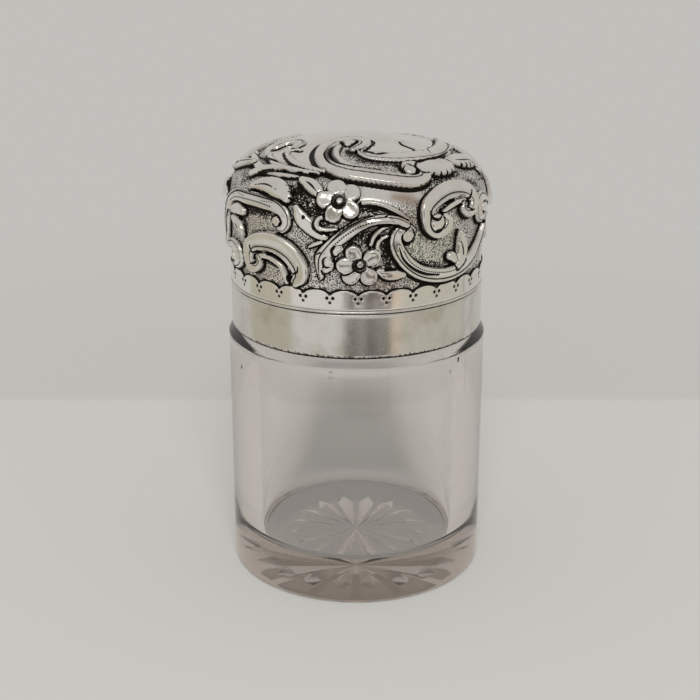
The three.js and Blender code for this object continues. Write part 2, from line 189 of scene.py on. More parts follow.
# %% Recipes for finishes
class Recipe(Wiring):
    """A material. Sizes are in millimetres, and done() takes what its surface is made of."""

    def __init__(self, name):
        self.material = bpy.data.materials.new(name)
        self.material.use_nodes = True
        super().__init__(self.material.node_tree)
        self.tree.nodes.clear()
        self.surface = self.node("ShaderNodeBsdfPrincipled")
        self.output = self.node("ShaderNodeOutputMaterial", {"Surface": self.surface.outputs["BSDF"]})

    def shows(self, share, first, second):
        """Wires a mix of two shaders to the output."""
        mixed = self.node("ShaderNodeMixShader", {0: share, 1: first, 2: second})
        self.join(mixed.outputs[0], self.output.inputs["Surface"])

    def done(self, values):
        self.fill(self.surface, values)
        return self.material

    def place(self, stretch=(1, 1, 1)):
        """Object coordinates in millimetres."""
        spot = self.node("ShaderNodeTexCoord").outputs["Object"]
        scale = [s / MM for s in stretch]
        return self.node("ShaderNodeMapping", {"Vector": spot, "Scale": scale}).outputs["Vector"]

    def noise(self, size, stretch=(1, 1, 1), detail=3.0):
        values = {"Vector": self.place(stretch), "Scale": 1 / size, "Detail": detail}
        return self.node("ShaderNodeTexNoise", values).outputs["Fac"]

    def attribute(self, name):
        return self.node("ShaderNodeAttribute", attribute_name=name).outputs["Fac"]

    def between(self, value, low, high, out_low=0.0, out_high=1.0):
        values = {"Value": value, "From Min": low, "From Max": high, "To Min": out_low, "To Max": out_high}
        return self.node("ShaderNodeMapRange", values, interpolation_type="SMOOTHSTEP").outputs["Result"]

    def blend(self, share, first, second):
        """A colour between two colours. The node has its colours at 6 and 7, and their blend at 2."""
        first, second = ((*c, 1) if isinstance(c, tuple) else c for c in (first, second))
        return self.node("ShaderNodeMix", {0: share, 6: first, 7: second}, data_type="RGBA").outputs[2]

    def bump(self, height, depth, below=None):
        """Raises the surface by depth millimetres where height is 1."""
        values = {"Height": height, "Distance": depth * MM, "Strength": 1.0}
        if below:
            values["Normal"] = below
        return self.node("ShaderNodeBump", values).outputs["Normal"]


# %% [markdown]
# The glass is one thick piece: body, ground shoulder, and the neck that hides in the collar. Light
# enters, bounces inside the walls and leaves again, so both skins of the wall have to be there, with
# the right thickness. Its tint comes from the depth of glass that the light crosses, which is why the
# solid base looks darker and warmer than the walls. A tint on the surface would colour both alike.
# Where the wheel cut the star and ground the bevel, the surface stayed a little dull.

# %% Clear glass
GLASS_INDEX = 1.5
GLASS_TINT = (0.44, 0.27, 0.16, 1)
TINT_DENSITY = 20.0
STAR_ROUGHNESS = 0.24
BEVEL_ROUGHNESS = 0.15


def clear_glass():
    mix = Recipe("clear_glass")
    depth = mix.node("ShaderNodeVolumeAbsorption", {"Color": GLASS_TINT, "Density": TINT_DENSITY})
    mix.join(depth.outputs["Volume"], mix.output.inputs["Volume"])
    rough = mix.between(mix.attribute("cut"), 0.0, 1.0, 0.0, STAR_ROUGHNESS)
    return mix.done({
        "Base Color": (1, 1, 1, 1),
        "Transmission Weight": 1.0,
        "IOR": GLASS_INDEX,
        "Roughness": rough,
    })


# %% Glass jar
WALL = 5.7
FLOOR = 7.3
FLOOR_CORNER = 2.0
BASE_EDGE = 0.7
BEVEL_WIDTH = 0.9
BEVEL_RISE = 1.5
NECK_WALL = 3.9
LIP_ROUND = 1.1
THROAT_DEPTH = 5.0
NECK_OUT = 21.6
GLASS_TURN = 256
SEAT = 0.2


def box_mm(node):
    """The two corners of a CAD piece, in millimetres."""
    return [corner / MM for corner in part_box(node)]


jar_high = box_mm("glass_jar")[1]
collar_low, collar_high = box_mm("collar_band")
shoulder = collar_low.z - SEAT


def jar_section():
    out = jar_high.x
    mouth = NECK_OUT - NECK_WALL
    inside = out - WALL
    top = jar_high.z
    bevel = shoulder - BEVEL_RISE
    throat = shoulder - THROAT_DEPTH / 2
    throat_end = shoulder - THROAT_DEPTH
    section = [(0, 0)]
    section += arc(out - BASE_EDGE, BASE_EDGE, BASE_EDGE, -1, 0)
    section += [(out, height) for height in np.linspace(6, bevel - 0.3, 6)]
    section += bend(
        (out, bevel), (out - 0.1, bevel + 0.2),
        (out - BEVEL_WIDTH, shoulder - 0.3), (out - BEVEL_WIDTH - 0.2, shoulder), 5,
    )
    section += [(NECK_OUT, shoulder)]
    section += arc(NECK_OUT - LIP_ROUND, top - LIP_ROUND, LIP_ROUND, 0, 1)
    section += arc(mouth + LIP_ROUND, top - LIP_ROUND, LIP_ROUND, 1, 2)
    section += bend((mouth, shoulder), (mouth, throat), (inside, throat), (inside, throat_end), 14)
    section += [(inside, height) for height in np.linspace(throat_end - 3, FLOOR + 5, 8)]
    section += arc(inside - FLOOR_CORNER, FLOOR + FLOOR_CORNER, FLOOR_CORNER, 0, -1, 8)
    section += [(inside - FLOOR_CORNER - 4, FLOOR), (0, FLOOR)]
    return section


# %% [markdown]
# A wheel cut the star into the base: sixteen grooves, each a kite in plan and a V in section. They
# could be faces of the spun base, but one simple cutter for each ray, taken away by a boolean, leaves
# the same crisp edges as the wheel. Knocks have also broken a few small chips out of the shoulder, and
# they are taken away in the same cut.

# %% Star cut under the base
STAR_RAYS = 16
STAR_RADIUS = 15.5
RAY_WIDTH = 3.4
RAY_DEPTH = 1.2
RAY_WIDEST = 12.4
CUT_START = 0.3
TOUCH = 0.02
GLASS_SHARP = math.radians(30)


def ray_cutter(turn):
    """One ray, as the wheel leaves it: a kite in plan, deepest where it is widest."""
    grow = (RAY_DEPTH + CUT_START) / RAY_DEPTH
    half = RAY_WIDTH / 2 * grow
    inner = RAY_WIDEST * (1 - grow)
    outer = RAY_WIDEST + (STAR_RADIUS - RAY_WIDEST) * grow
    corners = [(inner, 0), (RAY_WIDEST, half), (outer, 0), (RAY_WIDEST, -half)]
    bm = bmesh.new()
    rim = [bm.verts.new((x * MM, y * MM, -CUT_START * MM)) for x, y in corners]
    tip = bm.verts.new((RAY_WIDEST * MM, 0, RAY_DEPTH * MM))
    bm.faces.new(rim)
    for a, b in zip(rim, rim[1:] + rim[:1]):
        bm.faces.new((a, b, tip))
    bmesh.ops.rotate(bm, verts=bm.verts, matrix=Matrix.Rotation(turn, 3, "Z"))
    bmesh.ops.recalc_face_normals(bm, faces=bm.faces)
    return bm


# %% Chips at the shoulder
# Each chip: degrees round from the front, height and size in millimetres.
NICKS = [(-11, 47.5, 0.7), (-9.3, 46.6, 0.4), (49, 47.6, 0.45), (44, 45.8, 0.3), (-61, 44.5, 0.35)]
NICK_TALL = 1.6
NICK_OUT = 0.4


def nick_cutter(degrees, height, size):
    """A small chip that a knock broke out, so many degrees round from the front."""
    bm = bmesh.new()
    bmesh.ops.create_icosphere(bm, subdivisions=1, radius=size * MM)
    bmesh.ops.scale(bm, verts=bm.verts, vec=(1.0, 1.0, NICK_TALL))
    any_way = Matrix.Rotation(degrees, 3, "Z")
    bmesh.ops.rotate(bm, verts=bm.verts, matrix=any_way)
    out = (jar_high.x + size * NICK_OUT) * MM
    around = math.radians(degrees)
    spot = (out * math.sin(around), -out * math.cos(around), height * MM)
    bmesh.ops.translate(bm, verts=bm.verts, vec=spot)
    return bm


# %% Cut the jar
def wheel_cuts():
    whole = bmesh.new()
    cutters = [ray_cutter((i + 0.5) * math.tau / STAR_RAYS) for i in range(STAR_RAYS)]
    cutters += [nick_cutter(*nick) for nick in NICKS]
    for cutter in cutters:
        mesh = bpy.data.meshes.new("cutter")
        cutter.to_mesh(mesh)
        cutter.free()
        whole.from_mesh(mesh)
        bpy.data.meshes.remove(mesh)
    return as_object("wheel_cuts", whole)


def cut(piece, cutter):
    """Takes the cutter away from the piece, then throws the cutter away."""
    saw = piece.modifiers.new("cut", "BOOLEAN")
    saw.operation = "DIFFERENCE"
    saw.solver = "EXACT"
    saw.use_self = True
    saw.object = cutter
    sawn = piece.evaluated_get(bpy.context.evaluated_depsgraph_get())
    finished = bpy.data.meshes.new_from_object(sawn)
    piece.modifiers.clear()
    piece.data = finished
    bpy.data.objects.remove(cutter)


def glass_jar():
    piece = as_object("cut_glass_jar", spun(jar_section(), GLASS_TURN, closed=False))
    cut(piece, wheel_cuts())
    piece.data.set_sharp_from_angle(angle=GLASS_SHARP)
    radius = np.array([face.center.xy.length for face in piece.data.polygons]) / MM
    height = np.array([face.center.z for face in piece.data.polygons]) / MM
    star = (height > TOUCH) & (height < RAY_DEPTH) & (radius < STAR_RADIUS)
    bevel = (height > shoulder - BEVEL_RISE) & (height < shoulder + TOUCH) & (radius > NECK_OUT)
    dull = np.where(bevel, BEVEL_ROUGHNESS / STAR_ROUGHNESS, np.where(star, 1.0, 0.0))
    piece.data.attributes.new("cut", "FLOAT", "FACE").data.foreach_set("value", dull)
    print("faces of the star:", int(star.sum()), "faces of the bevel:", int(bevel.sum()))
    dress(piece, "glass_jar", "jar", clear_glass())


glass_jar()

# %% [markdown]
# The collar and the bezel are one soldered mounting of sheet silver, polished many times: bright,
# with fine hair scratches, a slight tarnish, and a ragged dark line where the plaster shows at its
# foot. That line could be a thin dark ring, but dirt has no thickness, so it is in the finish. The same
# silver serves for the liner inside the lid and for the wire that stiffens the lid's mouth.

# %% Polished silver
SILVER = (0.80, 0.785, 0.75)
SILVER_WORN = (0.66, 0.63, 0.57)
# This near black serves for tarnish and plaster residue, and on the chased lid also for painted shade.
OXIDE_AND_SHADE = (0.022, 0.018, 0.014)


def bright_silver(name, foot=None):
    """foot is the height, in millimetres, above which the black residue of plaster and wear fades."""
    mix = Recipe(name)
    base = mix.blend(mix.between(mix.noise(6.0), 0.45, 0.75), SILVER, SILVER_WORN)
    hairs = mix.noise(0.5, stretch=(1, 1, 14), detail=4.0)
    rough = mix.between(hairs, 0.3, 0.7, 0.12, 0.24)
    if foot:
        height = mix.node("ShaderNodeSeparateXYZ", {0: mix.place()}).outputs["Z"]
        ragged = mix.plus(height, mix.between(mix.noise(0.5, detail=4.0), 0.3, 0.7, -0.25, 0.25))
        edge = mix.between(ragged, foot - 0.1, foot + 0.25, 0.85, 0.0)
        pits = mix.between(mix.noise(0.22, detail=1.0), 0.66, 0.72, 0.0, 0.7)
        dirt = mix.larger(edge, mix.times(pits, mix.between(height, foot, foot + 2.5, 1.0, 0.0)))
        base = mix.blend(dirt, base, OXIDE_AND_SHADE)
        rough = mix.plus(rough, mix.times(dirt, 0.4))
    normal = mix.bump(hairs, 0.004, mix.bump(mix.noise(5.0, detail=1.0), 0.05))
    return mix.done({"Base Color": base, "Metallic": 1.0, "Roughness": rough, "Normal": normal})


polished = bright_silver("bright_silver")
collar_silver = bright_silver("collar_silver", foot=collar_low.z + 0.25)

# %% Collar, bezel, liner and edge wire
METAL_TURN = 256
SHEET = 0.7
BEZEL_SHEET = 0.55
BEZEL_LIP = 3.0
JOIN_GAP = 0.15
EDGE_ROUND = 0.12
LINER_SHEET = 0.5
WIRE_DEPTH = 0.65
SILVER_SHARP = math.radians(40)


def slab(inner, outer, foot, top, edge=EDGE_ROUND):
    """A ring with a rectangular section and slightly rounded edges."""
    section = arc(outer - edge, foot + edge, edge, -1, 0, 3)
    section += [(outer, height) for height in np.linspace(foot + 1, top - 1, 8) if top - foot > 3]
    section += arc(outer - edge, top - edge, edge, 0, 1, 3)
    section += arc(inner + edge, top - edge, edge, 1, 2, 3)
    section += arc(inner + edge, foot + edge, edge, 2, 3, 3)
    return section


def silver_ring(name, section, node, body, silver):
    """Spins one ring of sheet silver and puts it in its place."""
    piece = as_object(name, spun(section, METAL_TURN))
    piece.data.set_sharp_from_angle(angle=SILVER_SHARP)
    dress(piece, node, body, silver)


def collar_band():
    bezel_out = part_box("collar_bezel")[1].x / MM + JOIN_GAP
    out, foot, top = collar_high.x, collar_low.z, collar_high.z
    section = arc(out - SHEET / 2, foot + SHEET / 2, SHEET / 2, -2, 0, 6)
    section += [(out, height) for height in np.linspace(foot + 0.8, top - 0.8, 14)]
    section += arc(out - EDGE_ROUND * 2, top - EDGE_ROUND * 2, EDGE_ROUND * 2, 0, 1, 3)
    section += [(bezel_out, top), (bezel_out, top - SHEET), (out - SHEET, top - SHEET)]
    silver_ring("polished_collar_band", section, "collar_band", "jar", collar_silver)


def collar_bezel():
    low, high = box_mm("collar_bezel")
    out, inner = high.x, high.x - BEZEL_SHEET
    section = [(inner, low.z), (out, low.z), (out, high.z - 3)]
    section += arc(inner, high.z - BEZEL_SHEET, BEZEL_SHEET, 0, 1)
    section += arc(inner - BEZEL_LIP + BEZEL_SHEET / 2, high.z - BEZEL_SHEET / 2, BEZEL_SHEET / 2, 1, 3)
    section += [(inner, high.z - BEZEL_SHEET)]
    silver_ring("polished_bezel", section, "collar_bezel", "jar", polished)


def lid_liner():
    low, high = box_mm("lid_liner")
    section = slab(high.x - LINER_SHEET, high.x, low.z, high.z)
    silver_ring("polished_liner", section, "lid_liner", "lid", polished)


def lid_edge_wire():
    low, high = box_mm("lid_edge_wire")
    half = (high.z - low.z) / 2
    inner = high.x - WIRE_DEPTH
    section = [(inner, low.z)] + arc(high.x - half, low.z + half, half, -1, 1, 10) + [(inner, high.z)]
    silver_ring("polished_edge_wire", section, "lid_edge_wire", "lid", polished)


collar_band()
collar_bezel()
lid_liner()
lid_edge_wire()

# %% [markdown]
# Plaster fills the space between the glass neck and the collar. Almost none of it can be seen, so a
# plain ring with a chalky, uneven finish does, and the glass shows its true thickness through it.

# %% Plaster in the neck
PLASTER_RING = 0.9


def plaster():
    mix = Recipe("plaster")
    base = mix.blend(mix.noise(1.5), (0.45, 0.4, 0.32), (0.7, 0.66, 0.58))
    return mix.done({"Base Color": base, "Roughness": 0.9, "Normal": mix.bump(mix.noise(0.4), 0.05)})


def neck_cement():
    low, high = box_mm("neck_cement")
    piece = as_object("plaster_ring", spun(slab(high.x - PLASTER_RING, high.x, low.z, high.z), METAL_TURN))
    dress(piece, "neck_cement", "jar", plaster())


neck_cement()

# %% [markdown]
# The lid is one sheet of silver. The silversmith raised its pattern from behind, then chased it from
# the front with small punches, and the hollows were left dark when it was polished. Here the sheet is
# spun as a fine net of faces, and each place of the net is then pushed out or in by a drawing.
# A place on the lid is given as the chaser would pace it off: how far round from the front, and how
# far up from the rim, in millimetres along the metal. The crown is drawn in plan.

# %% The lid's outline
LID_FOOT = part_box("lid_edge_wire")[0].z / MM
LID_TOP = LID_FOOT + 28.0
SHEET_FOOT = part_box("lid_edge_wire")[1].z / MM + 0.02
LID_BULGE = 0.85
BULGE_HEIGHT = 16.2
CROWN_RADIUS = 17.5
CROWN_RISE = 2.6
CROWN_BALL = (CROWN_RADIUS**2 + CROWN_RISE**2) / (2 * CROWN_RISE)
FOOT_PULL = 0.45
BULGE_PULL = 0.3
SHOULDER_PULL = 0.55
LINE_STEPS = 60
ROUND_RADIUS = 25.3


def lid_line():
    mouth = collar_high.x
    widest = (mouth + LID_BULGE, LID_FOOT + BULGE_HEIGHT)
    edge = (CROWN_RADIUS, LID_TOP - CROWN_RISE)
    slope = CROWN_RADIUS / math.sqrt(CROWN_BALL**2 - CROWN_RADIUS**2)
    run = widest[0] - edge[0]
    wall = bend(
        (mouth, SHEET_FOOT), (mouth, SHEET_FOOT + BULGE_HEIGHT * FOOT_PULL),
        (widest[0], widest[1] - BULGE_HEIGHT * BULGE_PULL), widest, LINE_STEPS,
    )
    shoulder_line = bend(
        widest, (widest[0], widest[1] + (edge[1] - widest[1]) * SHOULDER_PULL),
        (edge[0] + run * SHOULDER_PULL, edge[1] - run * SHOULDER_PULL * slope), edge, LINE_STEPS,
    )
    crown = []
    for radius in np.linspace(CROWN_RADIUS, 0, LINE_STEPS + 1)[1:]:
        crown.append((radius, LID_TOP - CROWN_BALL + math.sqrt(CROWN_BALL**2 - radius**2)))
    return np.array(wall + shoulder_line[1:] + crown)


LINE = lid_line()
LINE_UP = np.concatenate([[0], np.cumsum(np.hypot(*np.diff(LINE, axis=0).T))]) + SHEET_FOOT - LID_FOOT
LINE_WAY = np.gradient(LINE, axis=0)
LINE_WAY /= np.linalg.norm(LINE_WAY, axis=1)[:, None]
print("from rim to crown:", round(float(LINE_UP[-1]), 1), "mm along the metal")


def on_line(up):
    """Radius and height of the lid's line, so far up along the metal."""
    return np.interp(up, LINE_UP, LINE[:, 0]), np.interp(up, LINE_UP, LINE[:, 1])


def on_lid(around, up):
    """The place on the lid, in millimetres."""
    radius, height = on_line(up)
    turn = np.asarray(around) / ROUND_RADIUS
    return np.stack([radius * np.sin(turn), -radius * np.cos(turn), height], axis=-1)


def on_crown(across, back):
    """The place on the crown that lies under a point of its plan."""
    radius = np.hypot(across, back)
    height = np.interp(-radius, -LINE[LINE_STEPS:, 0], LINE[LINE_STEPS:, 1])
    return np.stack([across, back, height], axis=-1)


# %% [markdown]
# Every mark of the chaser is a stroke: a smooth line through a few places, with its half width at
# each. Across a stroke runs a section, as the punches leave it. Each entry of a section gives how far
# across it is (from -1 on the left of the stroke's way to 1 on its right), how high it is, and how
# dark: oxide in its hollows, and painted shade where its form turns away from the light. Strokes are
# laid one over the other, as on the real lid: a new one covers what lies under it and presses a black
# outline round itself, drawn wider on its shaded side as painted shade. Outlines, the crease in a
# rolled stroke and rows of tiny beads aren't painted on the net itself, which is too coarse for them:
# the net only keeps how far away they are, and the finish draws them sharply.

# %% Sections of strokes
DOMED = [
    (-1, 0.4, 0.2), (-0.8, 0.85, 0), (-0.5, 1, 0), (0, 0.92, 0.04), (0.5, 0.95, 0), (0.8, 0.8, 0),
    (1, 0.4, 0.2),
]
ROLLED = [
    (-1, 0.45, 0.2), (-0.87, 0.95, 0), (-0.7, 1, 0), (-0.3, 0.84, 0), (0.1, 0.68, 0.1), (0.38, 0.54, 0.2),
    (0.5, 0.5, 0.3), (0.64, 0.68, 0.1), (0.85, 0.72, 0), (1, 0.4, 0.2),
]
CUPPED = [
    (-1, 0.5, 0.1), (-0.8, 1, 0), (-0.4, 0.78, 0.06), (0, 0.68, 0.2), (0.4, 0.78, 0.06), (0.8, 1, 0),
    (1, 0.5, 0.1),
]
SUNK = [(-1, 0.1, 0.9), (-0.8, 0.1, 0.9), (0, 0.3, 0.6), (0.8, 0.1, 0.9), (1, 0.1, 0.9)]


def mirrored(section):
    return [(-x, height, dark) for x, height, dark in reversed(section)]


ROLLED_BACK = mirrored(ROLLED)
ROLLED_CREASE = 0.47

# %% Smooth lines
STROKE_STEP = 0.2
THINNEST = 0.04


def smooth_line(corners):
    """A smooth line through the corners, as close points (each has x, y, z and half width)."""
    padded = np.vstack([2 * corners[0] - corners[1], corners, 2 * corners[-1] - corners[-2]])
    pieces = []
    for a, b, c, d in zip(padded, padded[1:], padded[2:], padded[3:]):
        steps = max(2, int(np.linalg.norm((c - b)[:3]) / STROKE_STEP))
        t = np.arange(steps)[:, None] / steps
        curve = 2 * b + (c - a) * t
        curve = curve + (2 * a - 5 * b + 4 * c - d) * t**2 + (3 * b - 3 * c + d - a) * t**3
        pieces.append(curve / 2)
    line = np.vstack([*pieces, corners[-1:]])
    line[:, 3] = line[:, 3].clip(THINNEST)
    return line


def eased(share):
    share = share.clip(0, 1)
    return share * share * (3 - 2 * share)


# %% Places of the sheet, and how they lie to a stroke
FAR = 5.0
SHADED_SIDE = np.array([-0.55, -0.5, -0.65])
LAYERS = {
    "line": FAR, "patina": 0.0, "pooled": 0.0, "matting": 0.0, "stain": 0.0, "crease": FAR,
    "beaded": 0.0, "bead_along": 0.0, "bead_away": 0.0,
}


class Places:
    """Many places on the outside of the lid, in millimetres, and what the finish needs at each."""

    def __init__(self, places, outward, around, up):
        self.places, self.outward, self.around, self.up = places, outward, around, up
        self.shift = 0.0
        self.working_on_crown = False
        self.height = np.zeros(len(places))
        for layer, empty in LAYERS.items():
            setattr(self, layer, np.full(len(places), empty))

    def spot(self, across, up):
        """The place of a mark: in plan while the crown is worked, else paced off round the wall."""
        return on_crown(across, up) if self.working_on_crown else on_lid(across + self.shift, up)

    def lay(self, places, reach):
        """Finds which places are near the smooth line of a stroke, and how they lie to it."""
        corners = np.array(places, float)
        spots = self.spot(corners[:, 0], corners[:, 1])
        line = smooth_line(np.column_stack([spots, corners[:, 2]]))
        points, halves = line[:, :3], line[:, 3]
        low, high = points.min(0) - halves.max() - reach, points.max(0) + halves.max() + reach
        which = np.flatnonzero(((self.places > low) & (self.places < high)).all(1))
        close = self.places[which]
        nearest = ((points**2).sum(1) - 2 * close @ points.T).argmin(1)
        ways = np.gradient(points, axis=0)
        steps = np.linalg.norm(ways, axis=1)
        ways = (ways / steps[:, None])[nearest]
        steps = steps[nearest]
        along = ((close - points[nearest]) * ways).sum(1).clip(-steps / 2, steps / 2)
        along[(nearest == 0) & (along < 0)] = 0
        along[(nearest == len(points) - 1) & (along > 0)] = 0
        away = close - points[nearest] - ways * along[:, None]
        position = nearest + along / steps
        return SimpleNamespace(
            which=which,
            distance=np.linalg.norm(away, axis=1),
            half=np.interp(position, np.arange(len(line)), halves),
            side=-np.sign((np.cross(ways, away) * self.outward[which]).sum(1)),
            shaded=(away @ SHADED_SIDE) / np.linalg.norm(away, axis=1).clip(1e-6),
            along=position * steps.mean(),
        )


# %% The chaser's sheet
CREASE = 0.11
EDGE_SOFT = 0.14
EDGE_SUNK = 0.1
STROKE_REACH = 2.5
GROOVE_REACH = 1.5
BEAD_REACH = 0.6


class Sheet(Places):
    """The outside of the lid while it is worked, with every mark that a chaser can make."""

    def stroke(self, places, section=DOMED, rise=0.75, line=0.16, press=0.12):
        """Raises a stroke by its section, and presses its outline into what lies round it."""
        near = self.lay(places, STROKE_REACH)
        which = near.which
        table = np.array(section)
        out = near.distance - near.half
        inside = eased(0.5 - out / EDGE_SOFT)
        # The outline widens on the side turned from the light: painted shade.
        width = line * (1 + near.shaded.clip(-0.4, 1))
        own = (np.abs(out - width) / width).clip(0, FAR)
        crease = np.full(len(which), FAR)
        if section in (ROLLED, ROLLED_BACK):
            fold = ROLLED_CREASE * near.half * (1 if section is ROLLED else -1)
            crease = (near.side * near.distance - fold) / (CREASE * near.half.clip(0.4, 1.2))
        self.crease[which] = np.where(out < 0.1, crease, self.crease[which])
        self.line[which] = np.where(out < 0, own, np.minimum(self.line[which], own))
        groove = np.exp(-(((out - width) / (width + 0.1)) ** 2)) * (1 - inside)
        across = near.side * near.distance / near.half
        lifted = rise * np.interp(across, table[:, 0], table[:, 1]) - EDGE_SUNK
        self.height[which] = (self.height[which] - press * groove) * (1 - inside) + lifted * inside
        shade = np.interp(across, table[:, 0], table[:, 2])
        self.patina[which] = self.patina[which] * (1 - inside) + shade * inside
        for covered in (self.matting, self.pooled, self.beaded):
            covered[which] *= 1 - inside

    def groove(self, places, depth=0.2):
        """A black line that a liner punch leaves."""
        near = self.lay(places, GROOVE_REACH)
        own = near.distance / near.half
        self.line[near.which] = np.minimum(self.line[near.which], own)
        self.height[near.which] -= depth * (1 - own**2).clip(0)

    def spread(self, layer, places, strength, edge=2):
        """Lays something soft on a layer of the finish. A larger edge makes its border steeper."""
        near = self.lay(places, STROKE_REACH)
        fades = strength * np.exp(-((near.distance / near.half) ** edge))
        layer[near.which] = np.maximum(layer[near.which], fades)

    def pool(self, places, dark=0.9):
        """A patch of painted shade on the sunk ground, where it lies deep between close strokes."""
        self.spread(self.pooled, places, dark, edge=5)

    def shade(self, places, dark=0.4):
        """A soft brown band of painted shade on top of a stroke."""
        self.spread(self.patina, places, dark)

    def beads(self, places, pitch=0.42):
        """A row of tiny beads, one to each pitch."""
        near = self.lay(places, BEAD_REACH)
        close = near.distance < BEAD_REACH
        which = near.which[close]
        self.bead_away[which] = (near.distance * near.side)[close]
        self.bead_along[which] = near.along[close] / pitch
        self.beaded[which] = 1.0

    def dot(self, around, up, radius, depth=0.2):
        spot = self.spot(around, up)
        which = np.flatnonzero((np.abs(self.places - spot) < radius * 3).all(1))
        own = np.linalg.norm(self.places[which] - spot, axis=1) / radius
        self.line[which] = np.minimum(self.line[which], own)
        self.height[which] -= depth * (1 - own**2).clip(0)


# %% [markdown]
# The border comes first: a plain band at the rim, thirty shallow arches chased along it, and three
# small dots punched where two arches meet. Above the arches the ground is sunk and matted, so that
# the polished scrolls stand out from it. Near the crown the sunk ground fades into the plain metal.
# Above the flowers of each half, and low at its right, a stretch of the ground was left smooth.

# %% Border and ground
GROUND_DEPTH = 0.32
ARCHES = 30
ARCH_FOOT = 3.2
ARCH_RISE = 1.35
ARCH_START = 0.2
ARCH_LINE = 0.19
ARCH_STEP = 0.15
ARCH_DEPTH = 0.1
DOT_RADIUS = 0.35
DOTS = ((-0.55, 2.9), (0.55, 2.9), (0, 2.05))
PLAIN_FROM = 28.6
PLAIN_FADE = 1.2
# Each smooth stretch: its middle, half its width and its soft edge in millimetres, and its strength.
SMOOTH_SIDE = (40, 10, 5, 0.85)
SIDE_TOP = 20
SIDE_FADE = 4
SMOOTH_FRONT = (7, 7.5, 2.5, 0.8)
FRONT_FOOT = 19.5
FRONT_FADE = 2.5
TURN_LENGTH = math.tau * ROUND_RADIUS
ARCH_LENGTH = TURN_LENGTH / ARCHES


def arch_edge(around):
    share = ((around - ARCH_START) / ARCH_LENGTH) % 1 * 2 - 1
    return ARCH_FOOT + ARCH_RISE * np.sqrt((1 - share**2).clip(0))


def leave_smooth(sheet, within, middle, half, edge, strength):
    for half_turn in (0, TURN_LENGTH / 2):
        share = eased((half - np.abs(sheet.around - middle + half_turn)) / edge)
        sheet.matting *= 1 - strength * share * within


def sink_ground(sheet):
    edge = arch_edge(sheet.around)
    above = eased((sheet.up - edge) / ARCH_STEP + 0.5)
    ground = above * (1 - eased((sheet.up - PLAIN_FROM) / PLAIN_FADE))
    sheet.height -= GROUND_DEPTH * ground
    sheet.matting += ground
    leave_smooth(sheet, eased((SIDE_TOP - sheet.up) / SIDE_FADE), *SMOOTH_SIDE)
    leave_smooth(sheet, eased((sheet.up - FRONT_FOOT) / FRONT_FADE), *SMOOTH_FRONT)
    steep = np.hypot(1, (arch_edge(sheet.around + 0.05) - arch_edge(sheet.around - 0.05)) / 0.1)
    sheet.line = np.minimum(sheet.line, np.abs(sheet.up - edge) / steep / ARCH_LINE)
    sheet.height -= ARCH_DEPTH * (1 - sheet.line**2).clip(0)


def punch_dots(sheet):
    for i in range(ARCHES):
        middle = ARCH_START + i * ARCH_LENGTH
        for across, up in DOTS:
            sheet.dot(middle + across, up, DOT_RADIUS)


# %% [markdown]
# Flowers, the eyes of scrolls and leaves with cut edges come up again and again. Each could be a small
# model that is copied about, but on a real lid no two are alike, so each is a short row of strokes
# that takes its own sizes.

# %% Flowers
FLOWER_EYE = 1.15


def punched(spot, radius):
    """A round mark is a stroke with hardly any length."""
    return [(*spot, radius), (*(np.array(spot) + 0.02), radius)]


def flower(sheet, around, up, petals):
    """Petals are given by their direction in degrees, their distance from the eye and their radius."""
    spot = np.array([around, up])
    for direction, reach, radius in petals:
        way = np.array([math.cos(math.radians(direction)), math.sin(math.radians(direction))])
        inner, middle, outer = (spot + way * (reach + step) for step in (-1.3, -0.4, 0.25))
        petal = [(*inner, radius * 0.6), (*middle, radius * 0.95), (*outer, radius)]
        sheet.stroke(petal, CUPPED, line=0.13)
        sheet.shade([(*(spot + way * 1.2), 0.5), (*(spot + way * 1.9), 0.35)], 0.3)
    sheet.stroke(punched(spot, FLOWER_EYE), SUNK, rise=0.5, line=0.12)
    sheet.stroke(punched(spot, FLOWER_EYE * 0.5), CUPPED, rise=0.5, line=0.13)
    sheet.shade(punched(spot, FLOWER_EYE * 0.6), 0.35)


# %% Volutes
def volute(sheet, middle, eye, start, end):
    """The round eye of a scroll, and the black line that winds into it. start and end are in degrees."""
    sheet.stroke([(*middle, eye), (middle[0] + 0.02, middle[1], eye)], CUPPED, line=0.1)
    reach = np.linspace(eye * 1.5, eye, 10)
    turns = np.radians(np.linspace(start, end, 10))
    width = 0.24 * np.sin(np.linspace(0.5, 2.9, 10))
    across, up = middle[0] + reach * np.cos(turns), middle[1] + reach * np.sin(turns)
    sheet.groove(np.column_stack([across, up, width]))


# %% Serrated leaves
def serrated(sheet, places, teeth):
    """A leaf whose edge was cut into lobes by short blows. Each tooth goes from the edge inwards."""
    sheet.stroke(places)
    for edge, inner in teeth:
        halfway = [(a + b) / 2 for a, b in zip(edge, inner)]
        sheet.groove([(*edge, 0.34), (*halfway, 0.1)], depth=0.25)


# %% [markdown]
# Now the pattern itself. A picture could be wrapped round the lid, but strokes that are placed one by
# one stay sharp and can be moved. Their places were read off the photograph, scroll by scroll, and then
# corrected until the drawing fell on it. In each part the dark pools of the ground come first, and
# later strokes cover what lies under them. Only the front of the lid shows, so the back repeats the
# same pattern half a turn on.

